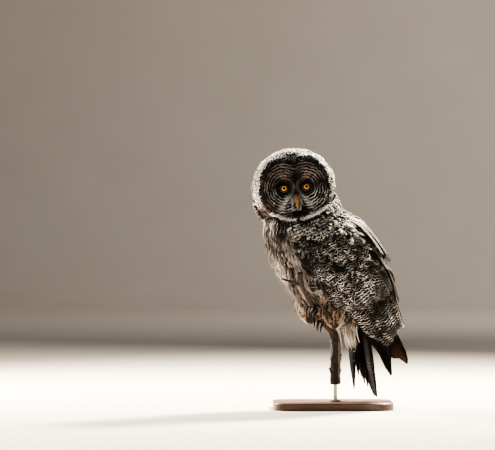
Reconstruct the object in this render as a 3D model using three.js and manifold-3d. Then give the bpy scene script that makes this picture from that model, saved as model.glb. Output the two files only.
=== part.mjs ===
// Great grey owl, life size, as a still museum model: it sits on a cut length of sapling that a
// plain display stand holds up. Millimetres, +Z up. The face looks along -Y, the body is turned
// towards -X, and the origin is the centre of the stand's underside.
import * as THREE from "three";
import { mergeVertices } from "three/addons/utils/BufferGeometryUtils.js";
import Module from "manifold-3d";

const wasm = await Module();
wasm.setup();

// Driving sizes, in millimetres and degrees
const GAP = 0.3; // between neighbouring nodes
const BODY_HEADING = 70; // how far the body is turned from the way the face looks
const BODY_LEAN = 25; // of the back from upright
const BODY_CENTRE = new THREE.Vector3(-5, -6, 360);
const NECK_UP = 104; // where the torso ends and the neck begins, along the body's axis
const HEAD_UP = 146; // where the neck ends and the head begins
const HEAD_CENTRE = new THREE.Vector3(-98, -48, 558);
const HEAD_TURN = 4; // of the face towards +X
const HEAD_TILT = 4.6; // of the crown towards -X
const EYE_RADIUS = 12;
const TRUNK_RADIUS = 13.5; // of the sapling at its lower cut
const PERCH_LOW = 62; // height of the lower cut
const BASE_SIZE = { long: 300, wide: 230, thick: 18, corner: 46, edge: 2.5 };
const ROD_RADIUS = 5;
const WING_FRONT = 41; // angle round the body, from the belly, where a wing begins

const rad = THREE.MathUtils.degToRad;
const mix = THREE.MathUtils.lerp;
const vec = (x, y, z) => new THREE.Vector3(x, y, z);
const plus = (a, b, by = 1) => a.clone().addScaledVector(b, by);
const smooth = (x, from = 0, to = 1) => THREE.MathUtils.smoothstep(x, from, to);
const bump = (x, width) => Math.exp(-((x / width) ** 2));

// A seeded draw, so that every run gives the same feathers
let seed = 20261;
function vary(spread) {
  seed = (seed * 1664525 + 1013904223) % 4294967296;
  return spread * ((2 * seed) / 4294967296 - 1);
}

// Solids
function solidFrom(positions, indices) {
  const vertProperties = new Float32Array(positions);
  const triVerts = new Uint32Array(indices);
  const made = new wasm.Manifold(new wasm.Mesh({ numProp: 3, vertProperties, triVerts }));
  if (made.volume() >= 0) return made;
  const turned = [];
  for (let i = 0; i < indices.length; i += 3) turned.push(indices[i], indices[i + 2], indices[i + 1]);
  return solidFrom(positions, turned);
}

function solidOf(geometry) {
  const bare = new THREE.BufferGeometry().setAttribute("position", geometry.getAttribute("position"));
  bare.setIndex(geometry.getIndex());
  const merged = mergeVertices(bare, 1e-4);
  return solidFrom(merged.attributes.position.array, merged.index.array);
}

const solidOfPoints = (points, faces) => solidFrom(points.flatMap((p) => p.toArray()), faces);

function join(solids) {
  return solids.reduce((all, one) => all.add(one));
}

function largest(solid) {
  return solid.decompose().reduce((a, b) => (b.volume() > a.volume() ? b : a));
}

// A closed skin over rings of points, with a fan of triangles over each end
function loft(rings) {
  const n = rings[0].length;
  const last = (rings.length - 1) * n;
  const faces = [];
  for (let k = 0; k + 1 < rings.length; k++)
    for (let i = 0; i < n; i++) {
      const a = k * n + i;
      const b = k * n + ((i + 1) % n);
      faces.push(a, b, b + n, a, b + n, a + n);
    }
  for (let i = 1; i + 1 < n; i++) faces.push(0, i + 1, i, last, last + i, last + i + 1);
  return solidOfPoints(rings.flat(), faces);
}

// A closed plate between two grids of points, split into triangles alike on both faces
function plate(top, bottom) {
  const rows = top.length;
  const cols = top[0].length;
  const under = rows * cols;
  const at = (i, j) => i * cols + j;
  const faces = [];
  for (let i = 0; i + 1 < rows; i++)
    for (let j = 0; j + 1 < cols; j++) {
      const [a, b, c, d] = [at(i, j), at(i, j + 1), at(i + 1, j + 1), at(i + 1, j)];
      faces.push(a, b, c, a, c, d, under + a, under + c, under + b, under + a, under + d, under + c);
    }
  const rim = [];
  for (let j = 0; j + 1 < cols; j++) rim.push(at(0, j));
  for (let i = 0; i + 1 < rows; i++) rim.push(at(i, cols - 1));
  for (let j = cols - 1; j > 0; j--) rim.push(at(rows - 1, j));
  for (let i = rows - 1; i > 0; i--) rim.push(at(i, 0));
  rim.forEach((a, k) => {
    const b = rim[(k + 1) % rim.length];
    faces.push(b, a, under + a, b, under + a, under + b);
  });
  return solidOfPoints([...top.flat(), ...bottom.flat()], faces);
}

// A closed round tube of changing radius along a list of centres
function tube(centres, radii, sides) {
  const curve = new THREE.CatmullRomCurve3(centres);
  const steps = centres.length - 1;
  let across = vec(0, 1, 0.2);
  const rings = centres.map((centre, k) => {
    const way = curve.getTangent(k / steps);
    across = across.clone().addScaledVector(way, -across.dot(way)).normalize();
    const other = way.clone().cross(across);
    return Array.from({ length: sides }, (_, i) => {
      const turn = (i / sides) * Math.PI * 2;
      return plus(plus(centre, across, radii[k] * Math.cos(turn)), other, radii[k] * Math.sin(turn));
    });
  });
  return loft(rings);
}

// Values read at a place in rows of [place, value, value...], on a smooth curve through them
function between(rows, place) {
  const last = rows.length - 1;
  const at = THREE.MathUtils.clamp(place, rows[0][0], rows[last][0]);
  let k = 0;
  while (k < last - 1 && at > rows[k + 1][0]) k++;
  const slope = (i, j) => {
    const [a, b] = [rows[Math.max(0, i - 1)], rows[Math.min(last, i + 1)]];
    return (b[j] - a[j]) / (b[0] - a[0]);
  };
  const span = rows[k + 1][0] - rows[k][0];
  const t = (at - rows[k][0]) / span;
  return rows[k].slice(1).map((value, j) => {
    const next = rows[k + 1][j + 1];
    const [h0, h1] = [slope(k, j + 1) * span, slope(k + 1, j + 1) * span];
    return (
      (2 * t ** 3 - 3 * t ** 2 + 1) * value + (t ** 3 - 2 * t ** 2 + t) * h0 +
      (3 * t ** 2 - 2 * t ** 3) * next + (t ** 3 - t ** 2) * h1
    );
  });
}

// A block that fills the half of space on the far side of a plane
function halfSpace(point, normal) {
  const size = 2000;
  const block = new THREE.BoxGeometry(size, size, size);
  block.translate(0, 0, size / 2);
  block.applyQuaternion(new THREE.Quaternion().setFromUnitVectors(vec(0, 0, 1), normal.clone().normalize()));
  block.translate(point.x, point.y, point.z);
  return solidOf(block);
}

// The body's own frame: left is the bird's left, front its belly side, up along its back
const heading = vec(-Math.sin(rad(BODY_HEADING)), -Math.cos(rad(BODY_HEADING)), 0);
const bodyLeft = vec(0, 0, 1).cross(heading);
const bodyUp = heading.clone().setLength(Math.sin(rad(BODY_LEAN))).setZ(Math.cos(rad(BODY_LEAN)));
const bodyFront = bodyLeft.clone().cross(bodyUp);

function bodyPoint(left, front, up) {
  return plus(plus(plus(BODY_CENTRE, bodyLeft, left), bodyFront, front), bodyUp, up);
}

// A point on an oval section of the body: angle 0 is the belly, 90 the side and 180 the back
function onSection([shift, depth, width], up, angle, side, grow) {
  const turn = rad(angle);
  return bodyPoint(side * (width + grow) * Math.sin(turn), shift + (depth + grow) * Math.cos(turn), up);
}

// Sections of the trunk of the body and neck: up, shift of the centre to the front, half depth, half width
const TORSO = [
  [-158, -16, 22, 22],
  [-146, -17, 40, 38],
  [-122, -14, 62, 58],
  [-90, -8, 84, 80],
  [-50, -1, 104, 97],
  [0, 6, 120, 105],
  [50, 12, 121, 106],
  [90, 23, 109, 101],
  [110, 24, 107, 99],
  [135, 22, 105, 92],
  [168, 15, 97, 76],
  [200, 5, 74, 52],
];

// Sections of the cloak that the folded wings form round the body, out to their tips
const CLOAK = [
  [-335, -54, 34, 20],
  [-290, -54, 44, 34],
  [-240, -53, 54, 54],
  [-190, -42, 70, 74],
  [-140, -32, 85, 94],
  [-90, -18, 107, 112],
  [-40, -8, 122, 120],
  [10, -3, 124, 123],
  [60, 4, 119, 121],
  [100, 13, 107, 111],
  [130, 18, 101, 105],
];

// The way out from the body's axis at an angle round it
function sectionOut(angle, side) {
  const turn = rad(angle);
  return bodyLeft.clone().multiplyScalar(side * Math.sin(turn)).addScaledVector(bodyFront, Math.cos(turn));
}

const torsoPoint = (up, angle, side, grow = 0) => onSection(between(TORSO, up), up, angle, side, grow);
const cloakPoint = (up, angle, side, lift = 0) => onSection(between(CLOAK, up), up, angle, side, lift);

function torsoShape(grow = 0) {
  const places = [-158, -153, -142, -124, -98, -66, -32, 4, 40, 76, 110, 140, 168, 200];
  const around = 24;
  return loft(
    places.map((up) =>
      Array.from({ length: around }, (_, i) => torsoPoint(up, (i * 360) / around, 1, grow)),
    ),
  );
}

// The head's own frame, with the face along -Y
const HEAD = { width: 101, height: 92, front: 70, back: 92 };
const DISC = { apart: 31, wide: 49, high: 69, low: -5, deep: 15 }; // the two dishes of the face
const CHEEK = { turn: 221, swell: 0.17 }; // the ruff swells where the turned head meets the breast
const FACE_SHIFT = -2; // of the face's middle from the head's
const EYE = { apart: 26.4, low: -5, proud: 5, outwards: 7, back: 4 };
const LID = { wide: 9.6, high: 8.4, thick: 2.6, back: 4.4 };

const headPlace = new THREE.Matrix4()
  .makeTranslation(HEAD_CENTRE)
  .multiply(new THREE.Matrix4().makeRotationY(rad(-HEAD_TILT)))
  .multiply(new THREE.Matrix4().makeRotationZ(rad(HEAD_TURN)));

// How far a point of the face is from the nearer dish's middle, 1 at the rim
function discReach(x, z) {
  const aside = (side) => (x - FACE_SHIFT - side * DISC.apart) / DISC.wide;
  const high = (z - DISC.low) / DISC.high;
  return Math.min(Math.hypot(aside(1), high), Math.hypot(aside(-1), high));
}

// The face's surface, as a distance in front of the head's middle
function faceFront(x, z) {
  const out = Math.min(1, Math.hypot(x / HEAD.width, z / HEAD.height));
  const reach = discReach(x, z);
  const dish = reach < 1 ? DISC.deep * (1 - reach ** 2) ** 2 : 0;
  const rim = 4.5 * bump(reach - 1.07, 0.1);
  const lores = 7 * bump(x - FACE_SHIFT, 11) * bump(z + 38, 20);
  return HEAD.front * (1 - out ** 2.6) ** (1 / 2.6) - dish + rim + lores;
}

function headSurface(polar, turn) {
  const swell = CHEEK.swell * bump(turn - rad(CHEEK.turn), 0.45) * smooth(Math.sin(polar), 0.8, 1);
  const out = Math.sin(polar) * (1 + swell);
  const [x, z] = [HEAD.width * out * Math.cos(turn), HEAD.height * out * Math.sin(turn)];
  return polar < Math.PI / 2 ? vec(x, -faceFront(x, z), z) : vec(x, -HEAD.back * Math.cos(polar), z);
}

function headShape() {
  const around = 30;
  const polars = [2, 9, 16, 23, 30, 36, 42, 48, 54, 60, 67, 76, 87, 100, 116, 136, 158, 176];
  const point = (polar, i) => headSurface(rad(polar), (i / around) * Math.PI * 2).applyMatrix4(headPlace);
  return loft(polars.map((polar) => Array.from({ length: around }, (_, i) => point(polar, i))));
}

// A feather's vane: a thin plate along a path. Its width swells from the root, and past the share
// called blunt it closes to the tip, in a point where taper is near 1 and a round end where it is
// more. Roll turns one edge up, so that neighbours overlap.
const VANE_ROWS = { long: [0, 0.3, 0.62, 0.88, 1], short: [0, 0.42, 0.78, 1] };

function vaneWidth(t, blunt, taper) {
  const grown = mix(0.5, 1, smooth(t, 0, 0.45));
  const end = Math.max(0, (t - blunt) / (1 - blunt));
  return grown * mix(1, 0.2, end ** taper);
}

function vane({ path, outward, width, thick = 1.3, blunt = 0.6, taper = 2.2, roll = 0, rows = "short" }) {
  const top = [];
  const bottom = [];
  for (const t of VANE_ROWS[rows]) {
    const here = path(t);
    const way = path(Math.min(1, t + 0.02)).sub(path(Math.max(0, t - 0.02))).normalize();
    const out = outward(t).clone();
    out.addScaledVector(way, -out.dot(way)).normalize();
    const across = way.clone().cross(out).multiplyScalar(Math.cos(rad(roll)));
    across.addScaledVector(out, Math.sin(rad(roll)));
    const half = (width * vaneWidth(t, blunt, taper)) / 2;
    const thin = (thick / 2) * mix(1, 0.55, smooth(t, 0.6, 1));
    const row = [plus(here, across, -half), plus(here, across, half)];
    top.push(row.map((point) => plus(point, out, thin)));
    bottom.push(row.map((point) => plus(point, out, -thin)));
  }
  return plate(top, bottom);
}

// Wings. Each tier runs from its lowest feather, at the belly side, to the one nearest the back.
// Root and tip hold [up, angle] of the first feather and of the last. Lift holds the height over
// the cloak past the root and at the tip, and fall, in rows of [share of the tier, length], how far
// a tip hangs below the line from the first tip to the last.
const ROOT_LIFT = -8;
const CORE_LIFT = -5;
const LEVEL = [[0, 0], [1, 0]];
const ARCH = [[0, 0], [0.5, 8], [1, 0]];
const TIERS = {
  primaries: {
    count: 5, root: [[-50, 66], [-75, 112]], tip: [[-262, 30], [-322, 36]], fall: LEVEL,
    lift: [-8, -9], stack: 2, width: 34, rows: "long", blunt: 0.62, taper: 1.6,
  },
  secondaries: {
    count: 7, root: [[-20, 60], [25, 150]], tip: [[-212, 60], [-228, 160]],
    fall: [[0, 0], [0.16, 26], [0.5, 0], [0.75, -8], [1, 0]],
    lift: [0, 2], stack: 0, width: 45, rows: "long", blunt: 0.72,
  },
  greaterCoverts: {
    count: 6, root: [[10, 56], [40, 132]], tip: [[-112, 52], [-118, 138]], fall: ARCH,
    lift: [0, 6], stack: 0, width: 43, rows: "short", blunt: 0.6,
  },
  medianCoverts: {
    count: 5, root: [[52, 54], [72, 130]], tip: [[-36, 50], [-44, 134]], fall: ARCH,
    lift: [0, 6], stack: 0, width: 50, rows: "short", blunt: 0.6,
  },
  lesserCoverts: {
    count: 4, root: [[88, 56], [98, 120]], tip: [[28, 50], [20, 124]], fall: ARCH,
    lift: [0, 5], stack: 0, width: 52, rows: "short", blunt: 0.6,
  },
  scapulars: {
    count: 3, root: [[76, 138], [50, 168]], tip: [[-66, 142], [-116, 172]], fall: LEVEL,
    lift: [3, 7], stack: 0, width: 43, rows: "short", blunt: 0.6,
  },
  mantle: {
    count: 3, root: [[104, 134], [102, 166]], tip: [[14, 138], [-6, 170]], fall: LEVEL,
    lift: [3, 8], stack: 0, width: 44, rows: "short", blunt: 0.6,
  },
};
const TIER_ROLL = 8;
const FAR_PRIMARY_TIPS = [[-280, 95], [-316, 150]]; // the right wing's tip lies nearer the back

function wingVane(tier, side, i) {
  const f = i / (tier.count - 1);
  const tips = tier === TIERS.primaries && side < 0 ? FAR_PRIMARY_TIPS : tier.tip;
  const root = [0, 1].map((k) => mix(tier.root[0][k], tier.root[1][k], f));
  const tip = [0, 1].map((k) => mix(tips[0][k], tips[1][k], f));
  tip[0] += vary(4) - between(tier.fall, f)[0];
  const angle = (t) => mix(root[1], tip[1], t ** 1.3);
  const rise = [ROOT_LIFT, tier.lift[0], tier.lift[1] + tier.stack * i];
  const lift = (t) => (t < 0.3 ? mix(rise[0], rise[1], t / 0.3) : mix(rise[1], rise[2], (t - 0.3) / 0.7));
  return vane({
    ...tier,
    path: (t) => cloakPoint(mix(root[0], tip[0], t), angle(t), side, lift(t)),
    outward: (t) => sectionOut(angle(t), side),
    roll: side * TIER_ROLL,
    width: tier.width + vary(1.5),
  });
}

// The part of the wing that lies on the body, under its feathers
function wingCore(side) {
  const ups = [-118, -84, -40, 6, 52, 92, 112];
  const angles = [WING_FRONT, 54, 76, 100, 124, 150, 184];
  const outer = ups.map((up) =>
    angles.map((angle) => {
      const body = torsoPoint(up, angle, side, -4);
      const kept = smooth(angle, WING_FRONT, 60) * smooth(up, -150, -112) * (1 - smooth(up, 104, 116));
      return body.lerp(cloakPoint(up, angle, side, CORE_LIFT), kept);
    }),
  );
  const inner = ups.map((up) => angles.map((angle) => torsoPoint(up, angle, side, -9)));
  return plate(outer, inner);
}

function wingShape(side) {
  const pieces = [wingCore(side)];
  for (const tier of Object.values(TIERS))
    for (let i = 0; i < tier.count; i++) pieces.push(wingVane(tier, side, i));
  const midline = halfSpace(bodyPoint(side * (GAP / 2), 0, 0), bodyLeft.clone().multiplyScalar(-side));
  return join(pieces).subtract(torsoShape(GAP)).subtract(midline);
}

// Tail: twelve pointed feathers that hang almost straight down, stacked with the middle pair
// outermost. The rows hold the share from the bird's right to its left, the turn out of line and
// the length, and the first feather on the right hangs apart from the rest.
const TAIL = { root: bodyPoint(0, -22, -126), count: 12, width: 32, heading: 56 };
const TAIL_SPREAD = [
  [-1, -8.6, 216],
  [-0.82, -4, 172],
  [-0.45, -1, 198],
  [0, 2, 218],
  [0.4, 4.5, 226],
  [1, 8.5, 225],
];
const TAIL_STACK = 1.6; // between one feather and the next under it
const tailWay = vec(0.12, 0.04, -1).normalize();
const tailLeft = vec(Math.cos(rad(TAIL.heading)), -Math.sin(rad(TAIL.heading)), 0);
const tailBack = tailLeft.clone().cross(tailWay).normalize();

function tailPoint(left, back, down) {
  return plus(plus(plus(TAIL.root, tailLeft, left), tailBack, back), tailWay, down);
}

// Share f runs from -1 at the bird's right to 1 at its left
function tailVane(i) {
  const f = (2 * i) / (TAIL.count - 1) - 1;
  const [turn, reach] = between(TAIL_SPREAD, f);
  const fan = rad(turn + vary(0.5));
  const depth = 8 - TAIL_STACK * ((TAIL.count - 1) * Math.abs(f) - (f > 0 ? 1 : 0));
  const length = reach + vary(3);
  const path = (t) => {
    const down = mix(-14, length, t);
    return tailPoint(13 * f + Math.sin(fan) * down, depth - 8 * t * (1 - t), Math.cos(fan) * down);
  };
  const shape = { width: TAIL.width, thick: 1.1, rows: "long", blunt: 0.5, taper: 1.3 };
  return vane({ path, outward: () => tailBack, ...shape });
}

// Soft coverts over the tail's root, above and below
const COVERTS = {
  under: { count: 5, face: -1, start: 16, from: 16, bulge: 22, length: 100, width: 26, fan: 8, spread: 22 },
  upper: { count: 4, face: 1, start: 10, from: 14, bulge: 5, length: 76, width: 26, fan: 9, spread: 20 },
};

function tailCovert(tier, i) {
  const f = (2 * i) / (tier.count - 1) - 1;
  const fan = rad(tier.fan * f + vary(2));
  const length = tier.length * (1 - 0.16 * Math.abs(f)) + vary(6);
  const path = (t) => {
    const back = tier.face * (tier.start + tier.bulge * Math.sin(2.4 * t) - 3 * Math.abs(f));
    return tailPoint(tier.spread * f + Math.sin(fan) * length * t, back, tier.from + length * t);
  };
  const outward = () => tailBack.clone().multiplyScalar(tier.face);
  return vane({ path, outward, width: tier.width, roll: 7, blunt: 0.5 });
}

function tailShape() {
  const rump = new THREE.SphereGeometry(1, 10, 8);
  rump.scale(36, 32, 50);
  rump.applyMatrix4(new THREE.Matrix4().makeBasis(tailLeft, tailBack, tailWay.clone().negate()));
  rump.translate(...tailPoint(0, -3, 4).toArray());
  const pieces = [solidOf(rump)];
  for (let i = 0; i < TAIL.count; i++) pieces.push(tailVane(i));
  for (const tier of Object.values(COVERTS))
    for (let i = 0; i < tier.count; i++) pieces.push(tailCovert(tier, i));
  return join(pieces).subtract(torsoShape(GAP));
}

// The sapling: centre line and radius from the lower cut to the upper one
const STEM = [
  [6, -20, PERCH_LOW, TRUNK_RADIUS],
  [6, -20, 100, 13.3],
  [7, -20, 140, 12.8],
  [6, -20, 170, 11.8],
  [-1, -22, 194, 10.4],
  [-18, -27, 212, 9.2],
  [-33, -33, 232, 8.2],
  [-47, -43, 252, 7.4],
  [-62, -62, 278, 6.8],
  [-74, -84, 300, 6.8],
  [-81, -100, 320, 6.4],
  [-84, -112, 342, 6],
];
const stemCurve = new THREE.CatmullRomCurve3(STEM.map(([x, y, z]) => vec(x, y, z)));

function stemAt(t) {
  const k = t * (STEM.length - 1);
  const low = Math.min(STEM.length - 2, Math.floor(k));
  const radius = mix(STEM[low][3], STEM[low + 1][3], k - low);
  return { centre: stemCurve.getPoint(t), way: stemCurve.getTangent(t), radius };
}

function stemShape(grow = 0) {
  const steps = 16;
  const along = Array.from({ length: steps + 1 }, (_, i) => stemAt(i / steps));
  return tube(along.map((s) => s.centre), along.map((s) => s.radius + grow), 9);
}

// Short snags where twigs broke off: place along the stem, way out, length, radius
const SNAGS = [
  [0.08, vec(-1, -0.4, 0.2), 11, 2.6],
  [0.15, vec(1, -0.3, 0.35), 10, 2.4],
  [0.27, vec(-1, -0.2, 0.1), 7, 2.2],
  [0.87, vec(-1, -0.15, 0.25), 46, 2.7],
];

function perchShape() {
  const snags = SNAGS.map(([t, way, length, radius]) => {
    const { centre } = stemAt(t);
    const out = way.clone().normalize();
    const place = (k) => plus(plus(centre, out, (length + 7) * k), vec(0, 0, 4 * k * k));
    return tube([0, 0.45, 0.75, 1].map(place), [1.5, 1.15, 1, 0.85].map((share) => share * radius), 6);
  });
  return join([stemShape(), ...snags]);
}

// Legs, feet and claws. How each foot holds the stem: place along it, and each toe's shift
// along the stem and its side.
const FEET = {
  left: { grip: 0.52, toes: [[-9, 1], [5, 1], [-5, -1], [9, -1]] },
  right: { grip: 0.645, toes: [[-8, 1], [5, 1], [-6, -1], [8, -1]] },
};
const TOE = { radius: 5.6, from: 10, to: 118, sunk: 2 }; // degrees round the stem, from the palm
const CLAW = { length: 25, radius: 2.9 };

function gripFrame(foot, shift = 0) {
  const length = stemCurve.getLength();
  const { centre, way, radius } = stemAt(foot.grip + shift / length);
  const away = bodyFront.clone().multiplyScalar(0.85).addScaledVector(vec(0, 0, 1), -0.35);
  away.addScaledVector(way, -away.dot(way)).normalize();
  return { centre, way, radius, away, side: way.clone().cross(away) };
}

// A point beside the stem, at degrees round it from the palm, which faces the body
function toePoint(frame, side, degrees) {
  const turn = rad(degrees);
  const off = frame.away.clone().multiplyScalar(-Math.cos(turn));
  off.addScaledVector(frame.side, side * Math.sin(turn));
  return plus(frame.centre, off, frame.radius + TOE.radius + 0.6);
}

function toeShape(frame, side, grow) {
  const places = [0, 0.33, 0.67, 1].map((k) => toePoint(frame, side, mix(TOE.from, TOE.to, k)));
  return tube(places, [1, 1, 0.9, 0.68].map((share) => TOE.radius * share + grow), 6);
}

// The claw starts a little inside the toe's end, then bends down
function clawShape(frame, side, grow = 0) {
  const end = toePoint(frame, side, TOE.to);
  const way = end.clone().sub(toePoint(frame, side, TOE.to - 6)).normalize();
  const places = [plus(end, way, -TOE.sunk)];
  const steps = 5;
  for (let k = 1; k <= steps; k++) {
    const turned = way.clone().lerp(vec(0.1, 0, -1), 0.15 + (0.85 * k) / steps).normalize();
    places.push(plus(places[k - 1], turned, (CLAW.length + TOE.sunk) / steps));
  }
  const radii = places.map((_, k) => mix(CLAW.radius, 0.4, (k / steps) ** 1.3) + grow);
  return tube(places, radii, 6);
}

function footShape(foot, grow = 0) {
  const toes = foot.toes.map(([shift, side]) => toeShape(gripFrame(foot, shift), side, grow));
  const frame = gripFrame(foot);
  const palm = new THREE.SphereGeometry(1, 8, 6);
  palm.scale(12 + grow, 8 + grow, 15 + grow);
  palm.applyMatrix4(new THREE.Matrix4().makeBasis(frame.side, frame.away, frame.way));
  palm.translate(...plus(frame.centre, frame.away, -(frame.radius + TOE.radius + 1)).toArray());
  return join([solidOf(palm), ...toes]);
}

function finishedFoot(foot) {
  const claws = foot.toes.map(([shift, side]) => clawShape(gripFrame(foot, shift), side, GAP));
  return footShape(foot).subtract(stemShape(GAP)).subtract(join(claws));
}

// Feathered thighs: body-frame [left, front, up] of the top and bottom, and the half width and
// half depth at even steps between them
const LEGS = {
  left: {
    top: [50, 28, -60], bottom: [42, 76, -146],
    sizes: [[36, 40], [38, 44], [30, 34], [15, 16]],
  },
  right: {
    top: [-40, 54, -40], bottom: [-24, 109, -118],
    sizes: [[40, 40], [42, 46], [34, 38], [16, 17]],
  },
};

function legShape(leg) {
  const [top, bottom] = [bodyPoint(...leg.top), bodyPoint(...leg.bottom)];
  const way = bottom.clone().sub(top).normalize();
  const left = bodyLeft.clone().addScaledVector(way, -bodyLeft.dot(way)).normalize();
  const front = left.clone().cross(way);
  const rows = leg.sizes.map((size, k) => [k / 3, ...size]);
  const rings = [-0.2, 0, 0.22, 0.44, 0.64, 0.8, 0.92, 1.01].map((t) => {
    const [wide, deep] = between(rows, THREE.MathUtils.clamp(t, 0, 1));
    const end = t > 1 || t < 0 ? 0.5 : 1;
    return Array.from({ length: 12 }, (_, i) => {
      const turn = (i / 12) * Math.PI * 2;
      const centre = top.clone().lerp(bottom, t);
      return plus(plus(centre, left, end * wide * Math.cos(turn)), front, end * deep * Math.sin(turn));
    });
  });
  const side = Math.sign(leg.top[0]);
  return loft(rings).subtract(halfSpace(bodyPoint(0, -10, 0), sectionOut(WING_FRONT + 86, side)));
}

// Head parts
function eyeFrame(side) {
  const x = FACE_SHIFT + side * EYE.apart;
  const z = EYE.low;
  const centre = vec(x, -faceFront(x, z) + EYE_RADIUS - EYE.proud, z);
  const turn = new THREE.Matrix4().makeRotationZ(rad(side * EYE.outwards));
  return headPlace.clone().multiply(new THREE.Matrix4().makeTranslation(centre)).multiply(turn);
}

// The back of the ball, which never shows, is cut flat
function eyeBall(side, grow = 0) {
  const ball = new THREE.SphereGeometry(EYE_RADIUS + grow, 14, 8);
  const behind = halfSpace(vec(0, EYE.back + grow, 0), vec(0, 1, 0));
  return solidOf(ball.rotateX(Math.PI / 2)).subtract(behind).transform(eyeFrame(side).elements);
}

// The lids: a ring round the eye, drawn in over the top of the ball
function lids(side) {
  const ring = new THREE.TorusGeometry(1, 0.27, 5, 12);
  ring.rotateX(Math.PI / 2);
  ring.scale(LID.wide, LID.thick / 0.27, LID.high);
  ring.translate(0, LID.back - EYE_RADIUS, -0.8);
  return solidOf(ring.applyMatrix4(eyeFrame(side)));
}

// Bill: an arched upper half with a hook and nostrils, over a shorter lower half
const BILL_TOP = [
  [0, 14, -28, 6.5, 6.5],
  [0, 2, -30, 7.2, 6.6],
  [0, -6, -34, 6.8, 6.2],
  [0, -11, -41, 5.6, 5.2],
  [0, -13, -48, 4.2, 3.8],
  [0, -12, -55, 2.4, 2.4],
  [0, -10, -60, 0.8, 0.9],
];
const BILL_LOW = [
  [0, 12, -44, 5, 3.6],
  [0, 3, -47, 5, 3.2],
  [0, -3, -50.5, 3.6, 2.4],
  [0, -6, -53.5, 1.6, 1.2],
];
const BILL_ROOT = -30;

function billShape(rows) {
  const root = -faceFront(FACE_SHIFT, BILL_ROOT);
  const centres = rows.map(([x, y, z]) => vec(x + FACE_SHIFT, root + y, z));
  const curve = new THREE.CatmullRomCurve3(centres);
  const rings = centres.map((centre, k) => {
    const way = curve.getTangent(k / (centres.length - 1));
    const out = vec(1, 0, 0).cross(way).normalize();
    return Array.from({ length: 14 }, (_, i) => {
      const turn = (i / 14) * Math.PI * 2;
      const point = plus(centre, vec(1, 0, 0), rows[k][3] * Math.cos(turn));
      return plus(point, out, rows[k][4] * Math.sin(turn)).applyMatrix4(headPlace);
    });
  });
  return loft(rings);
}

const billSpace = (rows) => billShape(rows.map(([x, y, z, wide, deep]) => [x, y, z, wide + GAP, deep + GAP]));

function nostril(side) {
  const root = -faceFront(FACE_SHIFT, BILL_ROOT);
  const hole = new THREE.SphereGeometry(1.6, 6, 4);
  hole.scale(1, 1, 1.35);
  hole.translate(FACE_SHIFT + side * 5.6, root - 6.4, -32);
  return solidOf(hole.applyMatrix4(headPlace));
}

// The ruff: short stiff vanes round the face, rooted on its rim and laid back over the head
const RUFF = { count: 22, reach: 17, width: 29 }; // reach in degrees over the head

function ruffVane(i) {
  const turn = ((i + 0.5) / RUFF.count) * Math.PI * 2 + vary(0.02);
  const onRim = (polar) => {
    const out = Math.sin(rad(polar));
    return discReach(HEAD.width * out * Math.cos(turn), HEAD.height * out * Math.sin(turn)) >= 1.02;
  };
  let rim = 25;
  while (!onRim(rim)) rim += 0.5;
  const polar = (t) => rad(rim + RUFF.reach * t);
  const normal = (t) => {
    const along = headSurface(polar(t) + 0.02, turn).sub(headSurface(polar(t) - 0.02, turn));
    const round = headSurface(polar(t), turn + 0.02).sub(headSurface(polar(t), turn - 0.02));
    return round.cross(along).normalize();
  };
  const path = (t) => plus(headSurface(polar(t), turn), normal(t), mix(-3.5, 4, smooth(t, -0.2, 0.7)));
  return vane({
    path: (t) => path(t).applyMatrix4(headPlace),
    outward: (t) => normal(t).transformDirection(headPlace),
    width: RUFF.width, thick: 1.6, blunt: 0.5, roll: 8,
  });
}

// The head, neck and torso are modelled whole and parted by thin flat cuts
const above = (up) => halfSpace(bodyPoint(0, 0, up), bodyUp);

function bodyParts() {
  const whole = torsoShape().add(headShape());
  const upper = whole.intersect(above(NECK_UP + GAP / 2));
  const head = whole.intersect(above(HEAD_UP + GAP / 2));
  return {
    torso: whole.subtract(above(NECK_UP - GAP / 2)),
    neck: upper.subtract(above(HEAD_UP - GAP / 2)),
    head,
  };
}

function finishedHead(head) {
  const ruff = Array.from({ length: RUFF.count }, (_, i) => ruffVane(i));
  const dressed = join([head, ...ruff, lids(1), lids(-1)]).intersect(above(HEAD_UP + GAP / 2));
  const cut = [eyeBall(1, GAP), eyeBall(-1, GAP), billSpace(BILL_TOP), billSpace(BILL_LOW)];
  return cut.reduce((left, one) => left.subtract(one), dressed);
}

// Stand
function baseShape() {
  const { long, wide, thick, corner, edge } = BASE_SIZE;
  const outline = new THREE.Shape();
  const [x, y] = [long / 2 - edge, wide / 2 - edge];
  outline.moveTo(-x + corner, -y).lineTo(x - corner, -y);
  outline.absarc(x - corner, -y + corner, corner, -Math.PI / 2, 0);
  outline.absarc(x - corner, y - corner, corner, 0, Math.PI / 2);
  outline.absarc(-x + corner, y - corner, corner, Math.PI / 2, Math.PI);
  outline.absarc(-x + corner, -y + corner, corner, Math.PI, Math.PI * 1.5);
  const slab = new THREE.ExtrudeGeometry(outline, {
    depth: thick - 2 * edge, bevelThickness: edge, bevelSize: edge, bevelSegments: 1, curveSegments: 4,
  });
  slab.translate(0, 0, edge);
  return solidOf(slab);
}

function rodShape() {
  const [low, high] = [BASE_SIZE.thick + GAP, PERCH_LOW - GAP];
  const rod = new THREE.CylinderGeometry(ROD_RADIUS, ROD_RADIUS, high - low, 16);
  const collar = new THREE.CylinderGeometry(13, 14, 5, 16);
  rod.rotateX(Math.PI / 2).translate(0, 0, (low + high) / 2);
  collar.rotateX(Math.PI / 2).translate(0, 0, low + 2.5);
  const both = solidOf(rod).add(solidOf(collar));
  return both.translate([STEM[0][0], STEM[0][1], 0]);
}

// Materials
function paint(color, roughness, metalness = 0) {
  return new THREE.MeshStandardMaterial({ color, roughness, metalness });
}

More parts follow.
